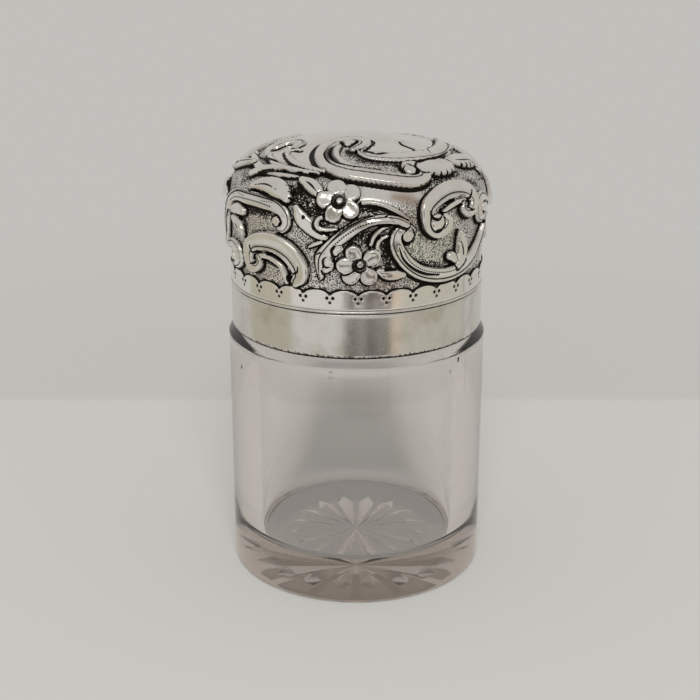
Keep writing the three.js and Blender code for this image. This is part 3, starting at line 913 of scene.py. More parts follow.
# %% Chased pattern, left
def left_scrolls(sheet):
    sheet.pool([(-23, 17.2, 0.9), (-20, 17.6, 1.0), (-17, 17.2, 0.9)], 0.8)
    sheet.pool([(-24.3, 14.5, 0.9), (-24.6, 12.5, 0.8)])
    sheet.pool([(-30, 24.5, 1.4), (-28.5, 22.5, 1.4)], 0.4)
    sheet.stroke([
        (-34.2, 18.3, 0.6), (-36.4, 19.2, 1.1), (-39.5, 18.8, 1.3), (-42.5, 17, 0.7), (-44.2, 15.8, 0.2),
    ])
    sheet.groove([(-38, 21, 0.15), (-35.5, 20.2, 0.3), (-33, 18.4, 0.15)])
    sheet.stroke([
        (-37.5, 8.8, 1.6), (-34.6, 11, 1.7), (-33, 13.4, 1.6), (-31.6, 16.2, 1.4), (-30, 18.2, 1.2),
        (-27.3, 19.4, 1.2), (-23.5, 19.6, 1.3), (-19.5, 19.6, 1.3), (-16, 19.3, 1.25), (-13.8, 18.2, 1),
        (-13.1, 16.6, 0.85), (-13.9, 15.3, 0.7), (-15, 15.4, 0.55), (-15.6, 16.3, 0.45),
        (-15.2, 16.9, 0.35),
    ], ROLLED_BACK)
    volute(sheet, (-15.2, 16.6), 0.85, -400, -120)
    sheet.groove([(-36, 9.6, 0.15), (-34.2, 11.4, 0.22), (-32.8, 14, 0.22), (-31.2, 17, 0.15)])
    sheet.groove([(-34.6, 9.3, 0.12), (-32.8, 11.2, 0.18), (-31.5, 14, 0.18), (-30.4, 16, 0.1)])
    sheet.beads([(-29.6, 19, 1), (-27.3, 20.2, 1), (-23.5, 20.5, 1), (-19.5, 20.5, 1), (-16, 20.2, 1)])
    sheet.beads([(-29, 17.9, 1), (-27, 18.9, 1), (-23.5, 19.2, 1), (-19.5, 19.2, 1), (-16.5, 18.9, 1)])
    serrated(
        sheet,
        [(-23.3, 21.8, 0.6), (-21.5, 22.7, 1.3), (-18.5, 22.9, 1.8), (-15.8, 22.3, 1.7), (-13.8, 21, 1)],
        [((-14, 23.6), (-15.6, 22.8)), ((-12.9, 22.3), (-14.6, 21.9)), ((-12.6, 20.8), (-14, 21))],
    )
    sheet.groove([(-22.5, 22, 0.08), (-19.5, 22.6, 0.16), (-16.2, 22, 0.08)], depth=0.1)
    sheet.stroke([
        (-10, 27, 0.18), (-12.5, 27.1, 0.3), (-15, 27.3, 0.4), (-19, 27.3, 0.5), (-22.5, 26.8, 0.6),
        (-25.4, 25.6, 0.7), (-27, 24, 0.5),
    ])
    sheet.groove([
        (-25.2, 24.3, 0.1), (-22, 25.4, 0.2), (-18, 26.1, 0.2), (-13, 26, 0.16), (-8, 25.8, 0.08),
    ])
    sheet.stroke([(-30.9, 26.5, 0.5), (-34.5, 25.5, 0.9), (-38.4, 23.9, 1.2), (-42, 22.5, 1)], rise=0.7)
    sheet.groove([(-32, 26.3, 0.1), (-35, 25.3, 0.18), (-39, 23.6, 0.1)])
    sheet.stroke([(-28.3, 16.4, 0.8), (-26.4, 16.9, 1.1), (-24.3, 16.8, 0.8)])
    sheet.stroke([(-28.2, 14.8, 0.6), (-26.6, 14, 1.2), (-25.2, 13.1, 0.8), (-24.7, 12.3, 0.4)])
    sheet.groove([(-26.4, 16.1, 0.15), (-25.8, 15.2, 0.25), (-24.8, 15.2, 0.15)])
    sheet.groove([(-27.2, 14.1, 0.1), (-26.3, 13.6, 0.18), (-25.5, 13, 0.1)], depth=0.1)
    sheet.stroke([
        (-32.8, 8.7, 0.8), (-30.2, 9.3, 1.1), (-27.9, 8.7, 1.3), (-27.4, 6.8, 1.25), (-28.9, 5.6, 0.9),
        (-30.8, 5.4, 0.6),
    ], ROLLED_BACK)
    sheet.stroke([(-30.9, 6.9, 0.8), (-30.3, 6.8, 0.8)])
    sheet.groove([(-29.6, 8, 0.1), (-28.9, 7.2, 0.2), (-29.4, 6.4, 0.12)])
    sheet.groove([
        (-39, 27.2, 0.1), (-33, 28.1, 0.26), (-24, 28.6, 0.3), (-15, 28.4, 0.24), (-8.5, 27.5, 0.1),
    ])


def thick_scroll(sheet):
    sheet.pool([(-19.5, 8.6, 0.7), (-17.5, 8.4, 0.7), (-15.8, 7.8, 0.6)], 0.85)
    sheet.stroke([
        (-20.4, 9.1, 0.45), (-17.6, 9.4, 0.5), (-15, 8.4, 0.55), (-14.1, 6.8, 0.65), (-13.5, 5.3, 0.5),
    ])
    sheet.stroke([
        (-20.2, 8.9, 0.5), (-20, 7.7, 0.7), (-21, 6.7, 0.8), (-22.4, 6.6, 0.95), (-23.3, 7.9, 1.15),
        (-23.1, 9.7, 1.3), (-21.6, 11.3, 1.6), (-18.8, 12.1, 1.9), (-15.6, 12.1, 2), (-12.8, 10.8, 2),
        (-11, 8.5, 1.9), (-10.9, 6.5, 1.5), (-11.7, 5.5, 1),
    ], ROLLED, rise=0.85)
    sheet.groove([(-22.3, 11, 0.12), (-22.4, 10.1, 0.22), (-21.6, 9.5, 0.27), (-20.2, 9.7, 0.2)])
    sheet.groove([(-21.4, 9, 0.12), (-21.4, 8, 0.22), (-22, 7.3, 0.25), (-22.9, 7.1, 0.12)])
    sheet.groove([(-19.6, 10.5, 0.08), (-17, 10.5, 0.16), (-14.6, 9.6, 0.16), (-13, 7.8, 0.1)], depth=0.12)
    sheet.shade([(-21, 10.9, 0.4), (-18.6, 11.3, 0.5), (-15.8, 11.2, 0.5), (-13.4, 10.1, 0.4)], 0.4)
    sheet.groove([(-11.1, 8.7, 0.1), (-11.2, 7.6, 0.2), (-12.1, 7, 0.22)])
    sheet.groove([(-13, 7.2, 0.15), (-13.3, 6.1, 0.24), (-12.8, 5.3, 0.22), (-11.9, 5, 0.1)])


# %% Chased pattern, centre
def centre_scrolls(sheet):
    sheet.pool([(-12.3, 22.6, 1.2), (-11.2, 20.8, 1.6), (-9.2, 19.6, 1.4), (-7.2, 18.8, 1)], 1)
    sheet.pool([(-1.6, 13.4, 0.9), (1, 14.4, 1.3), (4.2, 14, 1.6), (5.4, 11.5, 1.3), (5.6, 9.6, 0.9)], 0.85)
    sheet.pool([(1, 19.4, 0.6), (3.5, 19.6, 0.6)], 0.8)
    sheet.stroke([(-12, 25, 0.7), (-10, 24.3, 1.25), (-8.2, 23.2, 1.2), (-6.9, 22.2, 0.6)])
    sheet.groove([(-11, 24.6, 0.1), (-9.4, 23.8, 0.2), (-7.9, 22.6, 0.1)])
    sheet.stroke([
        (-11.3, 19.4, 0.6), (-10.2, 17.7, 1.3), (-8.6, 16.3, 1.3), (-7, 15.1, 1), (-5.6, 14.5, 0.5),
    ])
    sheet.dot(-9.6, 17.9, 0.4, depth=0.1)
    sheet.groove([(-9, 17.2, 0.08), (-7.6, 15.9, 0.16), (-6.2, 15, 0.08)], depth=0.1)
    sheet.stroke([(-8.8, 12.5, 0.2), (-7.5, 13.2, 0.4), (-6.4, 13.6, 0.3)], rise=0.55)
    sheet.stroke([
        (1, 20.9, 0.3), (3, 20.8, 0.38), (5, 20.2, 0.4), (7, 19.2, 0.38), (9, 17.8, 0.25),
    ], rise=0.6)
    sheet.groove([(0.3, 20.1, 0.08), (2.4, 20.3, 0.15), (4.6, 19.8, 0.15), (7, 18.7, 0.1)], depth=0.12)
    sheet.stroke([(2.4, 13.3, 0.3), (3, 14.9, 0.33), (4.3, 16.1, 0.3), (5.8, 16.6, 0.2)], rise=0.6)
    sheet.stroke([(4.2, 11.6, 0.3), (3.6, 12.9, 0.35), (4.2, 14.2, 0.3), (5.4, 14.8, 0.2)], rise=0.5)
    sheet.stroke([
        (-6.7, 7, 0.5), (-6.5, 8.8, 1.15), (-6.1, 10.5, 1.6), (-5.1, 12.2, 1.4), (-3.9, 13.7, 1.15),
        (-2.1, 15.2, 1.1), (0.2, 16.8, 1), (2.6, 17.7, 0.85), (5, 17.8, 0.8), (7.2, 17.5, 0.7),
        (8.8, 16.8, 0.6),
    ], ROLLED_BACK)
    sheet.groove([
        (-4.4, 14.2, 0.08), (-2.4, 16, 0.15), (0, 17.5, 0.15), (2.6, 18.4, 0.12), (5.4, 18.3, 0.1),
    ])
    sheet.beads([(-4.3, 13, 1), (-2.2, 15, 1), (0.4, 16.7, 1), (2.8, 17.5, 1)], pitch=0.5)
    sheet.stroke([(-5.2, 10.2, 0.7), (-5.1, 9.2, 0.95), (-5.6, 8.4, 0.6)])
    sheet.groove([(-6.1, 9.6, 0.1), (-5.7, 9, 0.22), (-4.9, 9.1, 0.1)])
    sheet.groove([(-7.3, 11.3, 0.1), (-6.5, 11.7, 0.2), (-5.6, 11.6, 0.1)])
    sheet.stroke([(-3, 12.6, 0.6), (-3.7, 12.2, 0.75), (-3.8, 11.6, 0.4)])
    sheet.groove([(-3.9, 12.9, 0.1), (-4.5, 12.1, 0.2), (-4.2, 11.3, 0.1)])
    sheet.stroke([
        (-3.6, 16.2, 0.2), (-5.2, 16, 0.35), (-6.6, 16.2, 0.4), (-7.2, 17.1, 0.42), (-6.6, 18, 0.4),
        (-5.7, 17.9, 0.35), (-5.5, 17.2, 0.3),
    ])
    sheet.stroke([(4, 8.2, 0.6), (5.6, 7.5, 1.1), (7.2, 7.3, 1), (8.6, 7.2, 0.5)], rise=0.7)
    sheet.groove([(4.6, 8.3, 0.1), (5.8, 8.4, 0.18), (7.2, 8.3, 0.1)])
    sheet.groove([(4.6, 7.3, 0.1), (5.6, 7.4, 0.18), (6.6, 7.3, 0.1)])
    flower(sheet, -3.3, 21.2, [
        (38, 2.35, 1.7), (108, 2.4, 1.75), (322, 2.4, 1.6), (178, 2.5, 1.6), (248, 2.4, 1.5),
    ])
    flower(sheet, 0.5, 9.5, [
        (118, 2.3, 1.5), (32, 2.45, 1.5), (305, 2.6, 1.6), (232, 2.5, 1.6), (183, 2.6, 1.5),
    ])


# %% Chased pattern, right
def right_scrolls(sheet):
    sheet.pool([(12.5, 8.9, 0.5), (16.5, 8.2, 0.5)], 0.6)
    sheet.pool([(27.5, 22.5, 0.9), (30, 20.8, 0.9)], 0.6)
    sheet.pool([(17.5, 24.2, 0.7), (22, 24.6, 0.8), (26, 24.8, 0.7)], 0.7)
    sheet.stroke([
        (30.9, 15, 0.5), (30.4, 13, 0.9), (29.1, 10.6, 1.3), (26.8, 8.2, 1.6), (24, 6.8, 1.5),
        (21, 6, 1.3), (18, 5.9, 1.35), (15, 6.3, 1.4), (12, 7.3, 1.35), (9.5, 9.1, 1.3), (7.7, 11.4, 1.25),
        (6.9, 13.7, 1.05), (7.3, 15.4, 0.85), (8.6, 16.1, 0.8), (9.8, 15.5, 0.7), (10, 14.3, 0.6),
        (9.3, 13.6, 0.5), (8.9, 14.1, 0.4),
    ], ROLLED_BACK, rise=0.8, line=0.18)
    volute(sheet, (9, 14.5), 1.0, 60, -200)
    sheet.groove([(7.4, 12.8, 0.12), (8.3, 10.4, 0.22), (10.2, 8.4, 0.28), (12.8, 7, 0.3), (16, 6.3, 0.2)])
    sheet.beads([
        (8.2, 12, 1), (9.6, 9.8, 1), (12, 8, 1), (15, 7, 1), (18, 6.5, 1), (21, 6.6, 1),
    ], pitch=0.5)
    sheet.stroke([
        (20.9, 13.6, 0.3), (21.4, 12.4, 0.9), (21.9, 11, 1.4), (22.2, 9.4, 1.5), (22, 8, 1.1),
        (21.3, 7.2, 0.7),
    ])
    sheet.stroke([(20, 8.4, 0.6), (19.3, 9.2, 0.9), (18.8, 9.3, 0.8)])
    sheet.groove([(21.1, 12, 0.1), (21.9, 10.2, 0.2), (22.3, 8.6, 0.1)])
    sheet.stroke([
        (31.8, 17.9, 0.8), (29.6, 18.6, 0.95), (27.7, 18, 1.05), (27.2, 16.4, 1), (27.9, 14.9, 0.9),
        (29.6, 14.6, 0.7), (31.2, 14.8, 0.5),
    ], ROLLED)
    sheet.stroke([(29.6, 16.6, 0.85), (30.4, 16.6, 0.8)])
    sheet.groove([(28.5, 17.6, 0.1), (28.1, 16.5, 0.2), (29, 15.6, 0.2), (30.4, 15.4, 0.1)])
    sheet.stroke([(16.8, 18.2, 0.35), (18.6, 18.8, 0.45), (20.6, 19.2, 0.45), (22.3, 19.2, 0.4)])
    sheet.stroke([
        (16.8, 17.3, 0.5), (17.8, 16.2, 0.8), (17.1, 14.8, 0.95), (15.1, 14.4, 1), (13.5, 15.7, 1.15),
        (13, 17.6, 1.25), (13.7, 19.5, 1.5), (16, 20.9, 1.65), (19, 21.7, 1.7), (22, 21.6, 1.75),
        (24.6, 20.6, 1.6), (25.8, 18.8, 1.15), (24.8, 17.1, 0.9), (23, 16.8, 0.8), (21.9, 17.7, 0.65),
        (22, 18.7, 0.4),
    ], ROLLED, rise=0.8, line=0.18)
    sheet.shade([(14.6, 19.2, 0.4), (17, 20.4, 0.5), (20, 20.9, 0.5), (23, 20.4, 0.4)], 0.45)
    sheet.stroke([(15.2, 16.4, 1.5), (15.3, 16.2, 1.5)], line=0.1)
    sheet.groove([(13.6, 18.6, 0.14), (13.9, 17.4, 0.28), (15, 16.9, 0.28), (15.9, 17.4, 0.14)])
    sheet.groove([(16.5, 17.3, 0.14), (16.7, 16.1, 0.28), (16, 15.1, 0.26), (14.9, 15, 0.14)])
    sheet.groove([(23.6, 18.6, 0.12), (23.6, 17.7, 0.24), (24.2, 17.1, 0.22), (25.1, 17.1, 0.12)])
    sheet.groove([(22.7, 19.5, 0.12), (24, 19.3, 0.22), (25, 19.8, 0.22), (25.6, 20.6, 0.12)])
    serrated(
        sheet,
        [(17.6, 27.6, 1.6), (20, 27.4, 2.2), (23, 27.2, 2.2), (25.4, 27.3, 1.9), (26.4, 27.5, 1)],
        [
            ((18.3, 25.2), (18.8, 26.7)), ((20.2, 24.8), (20.6, 26.4)), ((22.2, 24.8), (22.5, 26.4)),
            ((24.2, 25), (24.2, 26.4)), ((26, 25.4), (25.6, 26.6)),
        ],
    )
    serrated(
        sheet,
        [(28.4, 27.8, 1), (31, 27, 1.9), (34, 26.2, 2.1), (37, 25.4, 1.8), (40, 24.6, 1)],
        [
            ((29.9, 25.4), (30.2, 26.6)), ((31.7, 25), (31.9, 26.2)), ((33.5, 24.6), (33.6, 25.8)),
            ((35.4, 24.5), (35.4, 25.5)),
        ],
    )
    sheet.groove([(29.4, 27, 0.1), (32, 26.2, 0.2), (36, 25, 0.1)])
    sheet.groove([(33, 21.3, 0.1), (37, 20.6, 0.2), (42, 19.4, 0.1)])
    sheet.groove([(14, 30.9, 0.1), (20, 30.2, 0.2), (27, 29.6, 0.22), (34, 29.4, 0.2), (39, 28.8, 0.12)])


# %% [markdown]
# The crown is seen almost edge on. One large C scroll, a second one that runs to the right, and a
# group of feathers at the left are all that can be read, so its far half is left almost plain.

# %% Chased pattern, crown
def crown_scrolls(sheet):
    sheet.spread(sheet.matting, [(0, -14, 2.6), (3.5, -16, 2.6), (7.5, -16, 2)], 1, edge=4)
    sheet.spread(sheet.matting, [(-1.4, -10.5, 1.6), (-0.8, -14, 2)], 1, edge=4)
    sheet.pool([(0.6, -14.4, 0.9), (3.6, -15.2, 1), (6.8, -15.2, 0.9)], 0.85)
    sheet.pool([(-1.5, -11, 0.8), (-0.8, -13, 0.9)], 0.6)
    sheet.stroke([
        (1.2, -9.6, 0.5), (1, -11, 1), (2.4, -12.6, 1.3), (5, -12.9, 1.5), (8, -12.3, 1.5),
        (11, -10.5, 1.6), (13.6, -8, 1.7), (15.4, -5, 1.8), (16.4, -1.5, 1.8), (16.9, 2.5, 1.7),
        (16.8, 6.5, 1.5), (16.2, 9.5, 1),
    ], ROLLED)
    sheet.groove([(14.4, 10, 0.1), (14.9, 4, 0.2), (14.6, -1, 0.26), (13, -4.4, 0.12)], depth=0.1)
    sheet.groove([(10.4, -7.4, 0.1), (11.4, -6.4, 0.26), (13, -6.8, 0.22), (13.6, -7.8, 0.1)])
    sheet.stroke([(2, -11, 0.25), (3.8, -11.3, 0.7), (5.6, -11, 0.25)], CUPPED, rise=0.35, line=0.24)
    sheet.groove([(16.2, 13, 0.1), (14.6, 16.4, 0.2), (12, 19, 0.1)])
    sheet.stroke([
        (-3.3, -8.3, 0.5), (-4, -11, 0.75), (-3.6, -14, 0.8), (-1.8, -16.8, 0.8), (1, -18.2, 0.6),
        (4, -18.5, 0.4),
    ])
    sheet.groove([
        (3.1, -7.4, 0.15), (3, -4.6, 0.4), (0.6, -2.5, 0.6), (-3.2, -2.8, 0.65), (-6.3, -5.2, 0.6),
        (-8, -8.6, 0.5), (-8.4, -12.6, 0.42), (-7, -17, 0.35), (-3.4, -20.4, 0.3),
    ], depth=0.1)
    sheet.stroke([
        (-0.8, -10.2, 0.6), (0.4, -8.8, 1.1), (1.4, -7, 1.2), (1.2, -5.3, 1.2), (-0.4, -4.2, 1.2),
        (-2.8, -4.7, 1.3), (-4.9, -6.4, 1.3), (-6.1, -9, 1.3), (-6.5, -12.5, 1.35), (-5.3, -16.2, 1.5),
        (-2.4, -18.7, 1.6), (1.8, -19.8, 1.6), (6, -20, 1.6), (9.6, -19.4, 1.5), (12, -17.8, 1.2),
        (12, -15.8, 1), (10.4, -14.8, 0.9), (8.9, -15.4, 0.9),
    ], ROLLED_BACK, rise=0.8, line=0.26)
    volute(sheet, (9.5, -16.8), 1.15, 110, -160)
    sheet.groove([(-5.6, -9.4, 0.1), (-6, -12, 0.2), (-5.2, -15.2, 0.16), (-3.4, -17.2, 0.1)])
    # Painted shade darkens the hollow channel inside the scroll.
    channel = [(-4.3, -8.4, 0.4), (-5, -10.8, 0.8), (-4.9, -13.4, 0.85), (-3.6, -15.9, 0.5)]
    sheet.spread(sheet.patina, channel, 0.8, edge=5)
    sheet.stroke([(-1.5, -6.2, 1.2), (-1.3, -6.5, 1.2)])
    sheet.groove([(-0.2, -5, 0.12), (0.1, -6, 0.24), (-0.5, -7.3, 0.22), (-1.8, -7.8, 0.12)])
    sheet.groove([(-2.2, -7, 0.12), (-3.1, -6, 0.24), (-4.2, -6.2, 0.12)])
    for places in (
        [(-6, -18, 0.3), (-9, -15.5, 0.6), (-11.5, -12.5, 0.7), (-12.8, -9.2, 0.6)],
        [(-7, -18.2, 0.3), (-11, -15.8, 0.6), (-14.2, -12.5, 0.75), (-16, -8.5, 0.7), (-16.5, -5, 0.5)],
        [(-8.5, -18.6, 0.3), (-13, -16.2, 0.7), (-16.8, -12.4, 0.85), (-18.8, -7.5, 0.9), (-19.6, -2, 0.9),
         (-19.6, 4, 0.7), (-19, 9, 0.4)],
        [(-10.4, -7.6, 0.3), (-11.6, -6.2, 0.6), (-12.9, -6.6, 0.7), (-13, -8.2, 0.5)],
        [(8.6, -2.6, 0.4), (9.3, -4.4, 0.7), (10.9, -5.6, 0.8), (11.9, -7.2, 0.5)],
    ):
        sheet.stroke([(x, y, half * 0.85) for x, y, half in places], rise=0.4)
    sheet.stroke([
        (-11.6, -5.3, 0.6), (-10.6, -3.4, 0.9), (-11.3, -1.4, 1.1), (-13.6, -0.9, 1.2), (-15.2, -2.4, 0.9),
    ], ROLLED, rise=0.8)
    sheet.groove([(-17, 2.6, 0.1), (-14, 4, 0.18), (-10.8, 3.6, 0.1)], depth=0.1)


# %% Stains, and the order of the work
def tone(sheet):
    """Faint brown stains that polishing left."""
    for places, strength in (
        ([(7.2, 21.9, 0.8), (9.6, 21.4, 1.2), (11.4, 20.4, 0.9)], 0.7),
        ([(7.6, 18.3, 0.7), (10, 17.6, 0.8)], 0.45),
        ([(3.5, 5.6, 1.2), (7, 6.3, 1.3)], 0.4),
        ([(24, 29.5, 1.6), (28, 28.6, 1.4)], 0.3),
    ):
        sheet.spread(sheet.stain, places, strength)


def chase(sheet):
    sink_ground(sheet)
    sheet.working_on_crown = True
    crown_scrolls(sheet)
    sheet.working_on_crown = False
    for shift in (0.0, TURN_LENGTH / 2):
        sheet.shift = shift
        left_scrolls(sheet)
        right_scrolls(sheet)
        centre_scrolls(sheet)
        thick_scroll(sheet)
    sheet.shift = 0.0
    tone(sheet)
    punch_dots(sheet)


# %% [markdown]
# The net has to be fine only where the pattern is. An even net that could carry the chasing would have
# about a million triangles, and a displacement texture would need as many. So the net starts coarse,
# the cells in which the pattern changes most are halved in two rounds, and then each place moves along
# its own outward direction. The back of the sheet stays smooth, because the liner hides it.

# %% Lid sheet
LID_TURN = 360
ROW = 0.44
LID_SHEET = 0.6
LID_BACK = LID_SHEET + 0.5
BACK_FROM = 8
CROWN_LENGTH = 9
CROWN_ROWS = 13
INSIDE_ROWS = 14
REFINED_CELLS = (11200, 3600)
LINE_WEIGHT = 0.12
PATINA_AND_SHADE_WEIGHT = 0.2
ON_SKIN = 0.75


def lid_section():
    """Outside rows from the rim to the crown's middle, then the inside back to the rim."""
    up = np.concatenate([
        np.arange(LINE_UP[0], LINE_UP[-1] - CROWN_LENGTH, ROW),
        np.linspace(LINE_UP[-1] - CROWN_LENGTH, LINE_UP[-1], CROWN_ROWS)[1:],
    ])
    outside = np.column_stack(on_line(up))
    rows = np.linspace(0, len(LINE) - 1, INSIDE_ROWS).astype(int)
    thick = np.where(LINE_UP > BACK_FROM, LID_BACK, LID_SHEET)[:, None]
    inward = np.column_stack([-LINE_WAY[:, 1], LINE_WAY[:, 0]])
    inside = (LINE + inward * thick)[rows][::-1]
    inside[0] = (0, LINE[-1, 1] - LID_BACK)
    inside[-1] = (LINE[0, 0] - LID_SHEET, LINE[0, 1])
    return [tuple(p) for p in outside], [tuple(p) for p in inside]


def read_sheet(places):
    """The sheet's places as the chaser sees them."""
    radius = np.hypot(places[:, 0], places[:, 1])
    around = np.arctan2(places[:, 0], -places[:, 1]) * ROUND_RADIUS
    gaps = np.abs(radius[:, None] - LINE[:, 0]) + np.abs(places[:, 2, None] - LINE[:, 1])
    nearest = gaps.argmin(1)
    way = LINE_WAY[nearest]
    along = ((np.column_stack([radius, places[:, 2]]) - LINE[nearest]) * way).sum(1)
    level = way[:, 1, None] * places[:, :2] / np.maximum(radius, 1e-6)[:, None]
    outward = np.column_stack([level, -way[:, 0]])
    sheet = Sheet(places, outward, around, LINE_UP[nearest] + along)
    chase(sheet)
    return sheet


# %% Net of the lid
def lid_net():
    outside, inside = lid_section()
    bm = bmesh.new()
    skin = bm.verts.layers.float.new("skin")
    verts = [bm.verts.new((r * MM, 0, h * MM)) for r, h in outside + inside]
    for vert in verts[: len(outside)]:
        vert[skin] = 1.0
    pairs = list(zip(verts, verts[1:])) + [(verts[-1], verts[0])]
    del pairs[len(outside) - 1]
    edges = [bm.edges.new(pair) for pair in pairs]
    turn_round(bm, verts + edges, LID_TURN)
    return bm, skin


def refine(bm, skin, count):
    """Halves the cells in which the pattern changes most."""
    verts = [v for v in bm.verts if v[skin] > ON_SKIN]
    number = {vert: i for i, vert in enumerate(verts)}
    sheet = read_sheet(np.array([v.co for v in verts]) / MM)
    look = sheet.height + LINE_WEIGHT * sheet.line.clip(0, 2) + PATINA_AND_SHADE_WEIGHT * sheet.patina
    cells = [face for face in bm.faces if all(v in number for v in face.verts) and len(face.verts) > 3]
    need = [np.ptp(look[[number[v] for v in face.verts]]) for face in cells]
    busiest = np.argsort(need)[-count:]
    print(len(cells), "cells, of which", count, "are halved")
    busy = {edge for i in busiest for edge in cells[i].edges}
    bmesh.ops.subdivide_edges(bm, edges=list(busy), cuts=1, use_grid_fill=True)


# %% Chase the lid
def chased_lid():
    bm, skin = lid_net()
    print("the net starts with", len(bm.verts), "places")
    for count in REFINED_CELLS:
        refine(bm, skin, count)
    verts = [v for v in bm.verts if v[skin] > ON_SKIN]
    sheet = read_sheet(np.array([v.co for v in verts]) / MM)
    for vert, place in zip(verts, (sheet.places + sheet.outward * sheet.height[:, None]) * MM):
        vert.co = place
    bm.verts.index_update()
    spots = [v.index for v in verts]
    for face in bm.faces:
        face.smooth = True
    print("triangles of the lid:", sum(len(f.verts) - 2 for f in bm.faces))
    piece = as_object("chased_lid", bm)
    for layer, empty in LAYERS.items():
        values = np.full(len(piece.data.vertices), empty)
        values[spots] = getattr(sheet, layer)
        piece.data.attributes.new(layer, "FLOAT", "POINT").data.foreach_set("value", values)
    dress(piece, "lid_shell", "lid", chased_silver())


# %% [markdown]
# Old chased silver is bright where hands and cloths reach it and black where they don't. The finish
# could guess the hollows from the shape, but the drawing knows better: it lays down how far away the
# next outline, crease or bead is, where the ground was matted, and where painted shade pools deep in
# the ground. The finish draws from these layers, paints shade on the ground close to each outline,
# and adds the punch marks, faint tones and stains that are too fine for the net.

# %% Chased silver
SILVER_BRIGHT = (0.92, 0.905, 0.87)
SILVER_GREEN = (0.80, 0.82, 0.74)
SILVER_PINK = (0.85, 0.77, 0.73)
TONED = (0.42, 0.27, 0.19)
BEAD_PITCH = 0.45
PUNCH_SIZE = 0.26


def punched_lines(mix, line):
    """1 on the outlines, the creases and the tiny beads, whose distances the net carries."""
    crease = mix.between(mix.maths("ABSOLUTE", mix.attribute("crease")), 0.7, 1.3, 0.95, 0.0)
    lines = mix.larger(mix.between(line, 0.8, 1.2, 1.0, 0.0), crease)
    from_middle = mix.plus(mix.maths("FRACT", mix.attribute("bead_along")), -0.5)
    along = mix.maths("POWER", mix.times(mix.maths("ABSOLUTE", from_middle), BEAD_PITCH), 2.0)
    bead = mix.maths("SQRT", mix.plus(along, mix.maths("POWER", mix.attribute("bead_away"), 2.0)))
    beaded = mix.between(mix.attribute("beaded"), 0.8, 1.0)
    return mix.larger(lines, mix.times(mix.between(bead, 0.13, 0.2, 0.95, 0.0), beaded))


def matted_and_shaded_ground(mix, line, punch, matting):
    """Dark between the punch marks, and darker with painted shade where an outline is close or shade pools.
    """
    pooled = mix.attribute("pooled")
    reach = mix.plus(mix.times(pooled, 0.3), mix.between(line, 1.0, 4.0, 0.14, 0.0))
    reach = mix.plus(reach, mix.between(mix.noise(0.35, detail=2.0), 0.35, 0.7, -0.06, 0.08))
    dots = mix.between(mix.maths("SUBTRACT", punch, reach), 0.3, 0.62, 1.0, 0.0)
    dark = mix.times(dots, mix.between(pooled, 0.0, 1.0, 0.72, 0.98))
    return mix.times(mix.plus(dark, 0.08), matting)


def chased_silver():
    mix = Recipe("chased_silver")
    line = mix.attribute("line")
    matting = mix.attribute("matting")
    cloud = mix.noise(5.0)
    cells = mix.node("ShaderNodeTexVoronoi", {"Vector": mix.place(), "Scale": 1 / PUNCH_SIZE}, feature="F1")
    punch = cells.outputs["Distance"]
    # The patina layer holds oxide in the hollows and the painted shade of each stroke's form.
    soft = mix.plus(mix.attribute("patina"), mix.between(cloud, 0.4, 0.8, 0.0, 0.08))
    share = mix.larger(punched_lines(mix, line), mix.plus(soft, matted_and_shaded_ground(mix, line, punch, matting)))
    tint = mix.blend(mix.between(mix.noise(9.0, detail=1.0), 0.42, 0.58), SILVER_GREEN, SILVER_PINK)
    base = mix.blend(mix.between(cloud, 0.35, 0.7, 0.1, 0.7), SILVER_BRIGHT, tint)
    base = mix.blend(mix.attribute("stain"), base, TONED)
    hammered = mix.bump(mix.noise(2.2, detail=1.0), 0.03)
    dented = mix.bump(mix.times(punch, matting), 0.06, hammered)
    return mix.done({
        "Base Color": mix.blend(mix.between(share, 0.0, 1.0), base, OXIDE_AND_SHADE),
        "Metallic": 1.0,
        "Roughness": mix.plus(mix.between(share, 0.0, 1.0, 0.14, 0.5), mix.times(matting, 0.1)),
        "Normal": mix.bump(mix.between(line, 0.2, 1.3), 0.07, dented),
    })


chased_lid()

# %% [markdown]
# The jar stands on pale paper. Silver and glass show little of their own and mostly show the room, so
# most of the work on their looks is done here. A soft lamp hangs high in front, so that the shadow
# falls behind the jar. Mirrors and glass don't show the lamp. Every other ray meets a pale grey world.

# %% World
BACKDROP = (0.535, 0.525, 0.500)
WORLD_LIGHT = 0.56
WORLD_TINT = (1.0, 0.995, 0.98, 1.0)


def seen_rays(wiring):
    """1 for rays of the eye and those that left silver or glass, 0 for light that falls on the object."""
    rays = wiring.node("ShaderNodeLightPath").outputs
    straight = wiring.plus(rays["Is Camera Ray"], rays["Is Glossy Ray"])
    shown = wiring.plus(straight, rays["Is Transmission Ray"])
    return wiring.maths("MINIMUM", shown, 1.0)


def world_light():
    world = bpy.data.worlds.new("studio")
    bpy.context.scene.world = world
    world.use_nodes = True
    wiring = Wiring(world.node_tree)
    lights = wiring.fill(wiring.tree.nodes["Background"], {"Color": WORLD_TINT, "Strength": WORLD_LIGHT})
    backdrop = wiring.node("ShaderNodeBackground", {"Color": (*BACKDROP, 1.0)})
    shaders = {0: seen_rays(wiring), 1: lights.outputs[0], 2: backdrop.outputs[0]}
    mixed = wiring.node("ShaderNodeMixShader", shaders)
    wiring.join(mixed.outputs[0], wiring.tree.nodes["World Output"].inputs["Surface"])


world_light()

# %% Lamp
LAMP_PLACE = Vector((0.03, -1.0, 1.0))
LAMP_AIM = Vector((0, 0, 0.04))


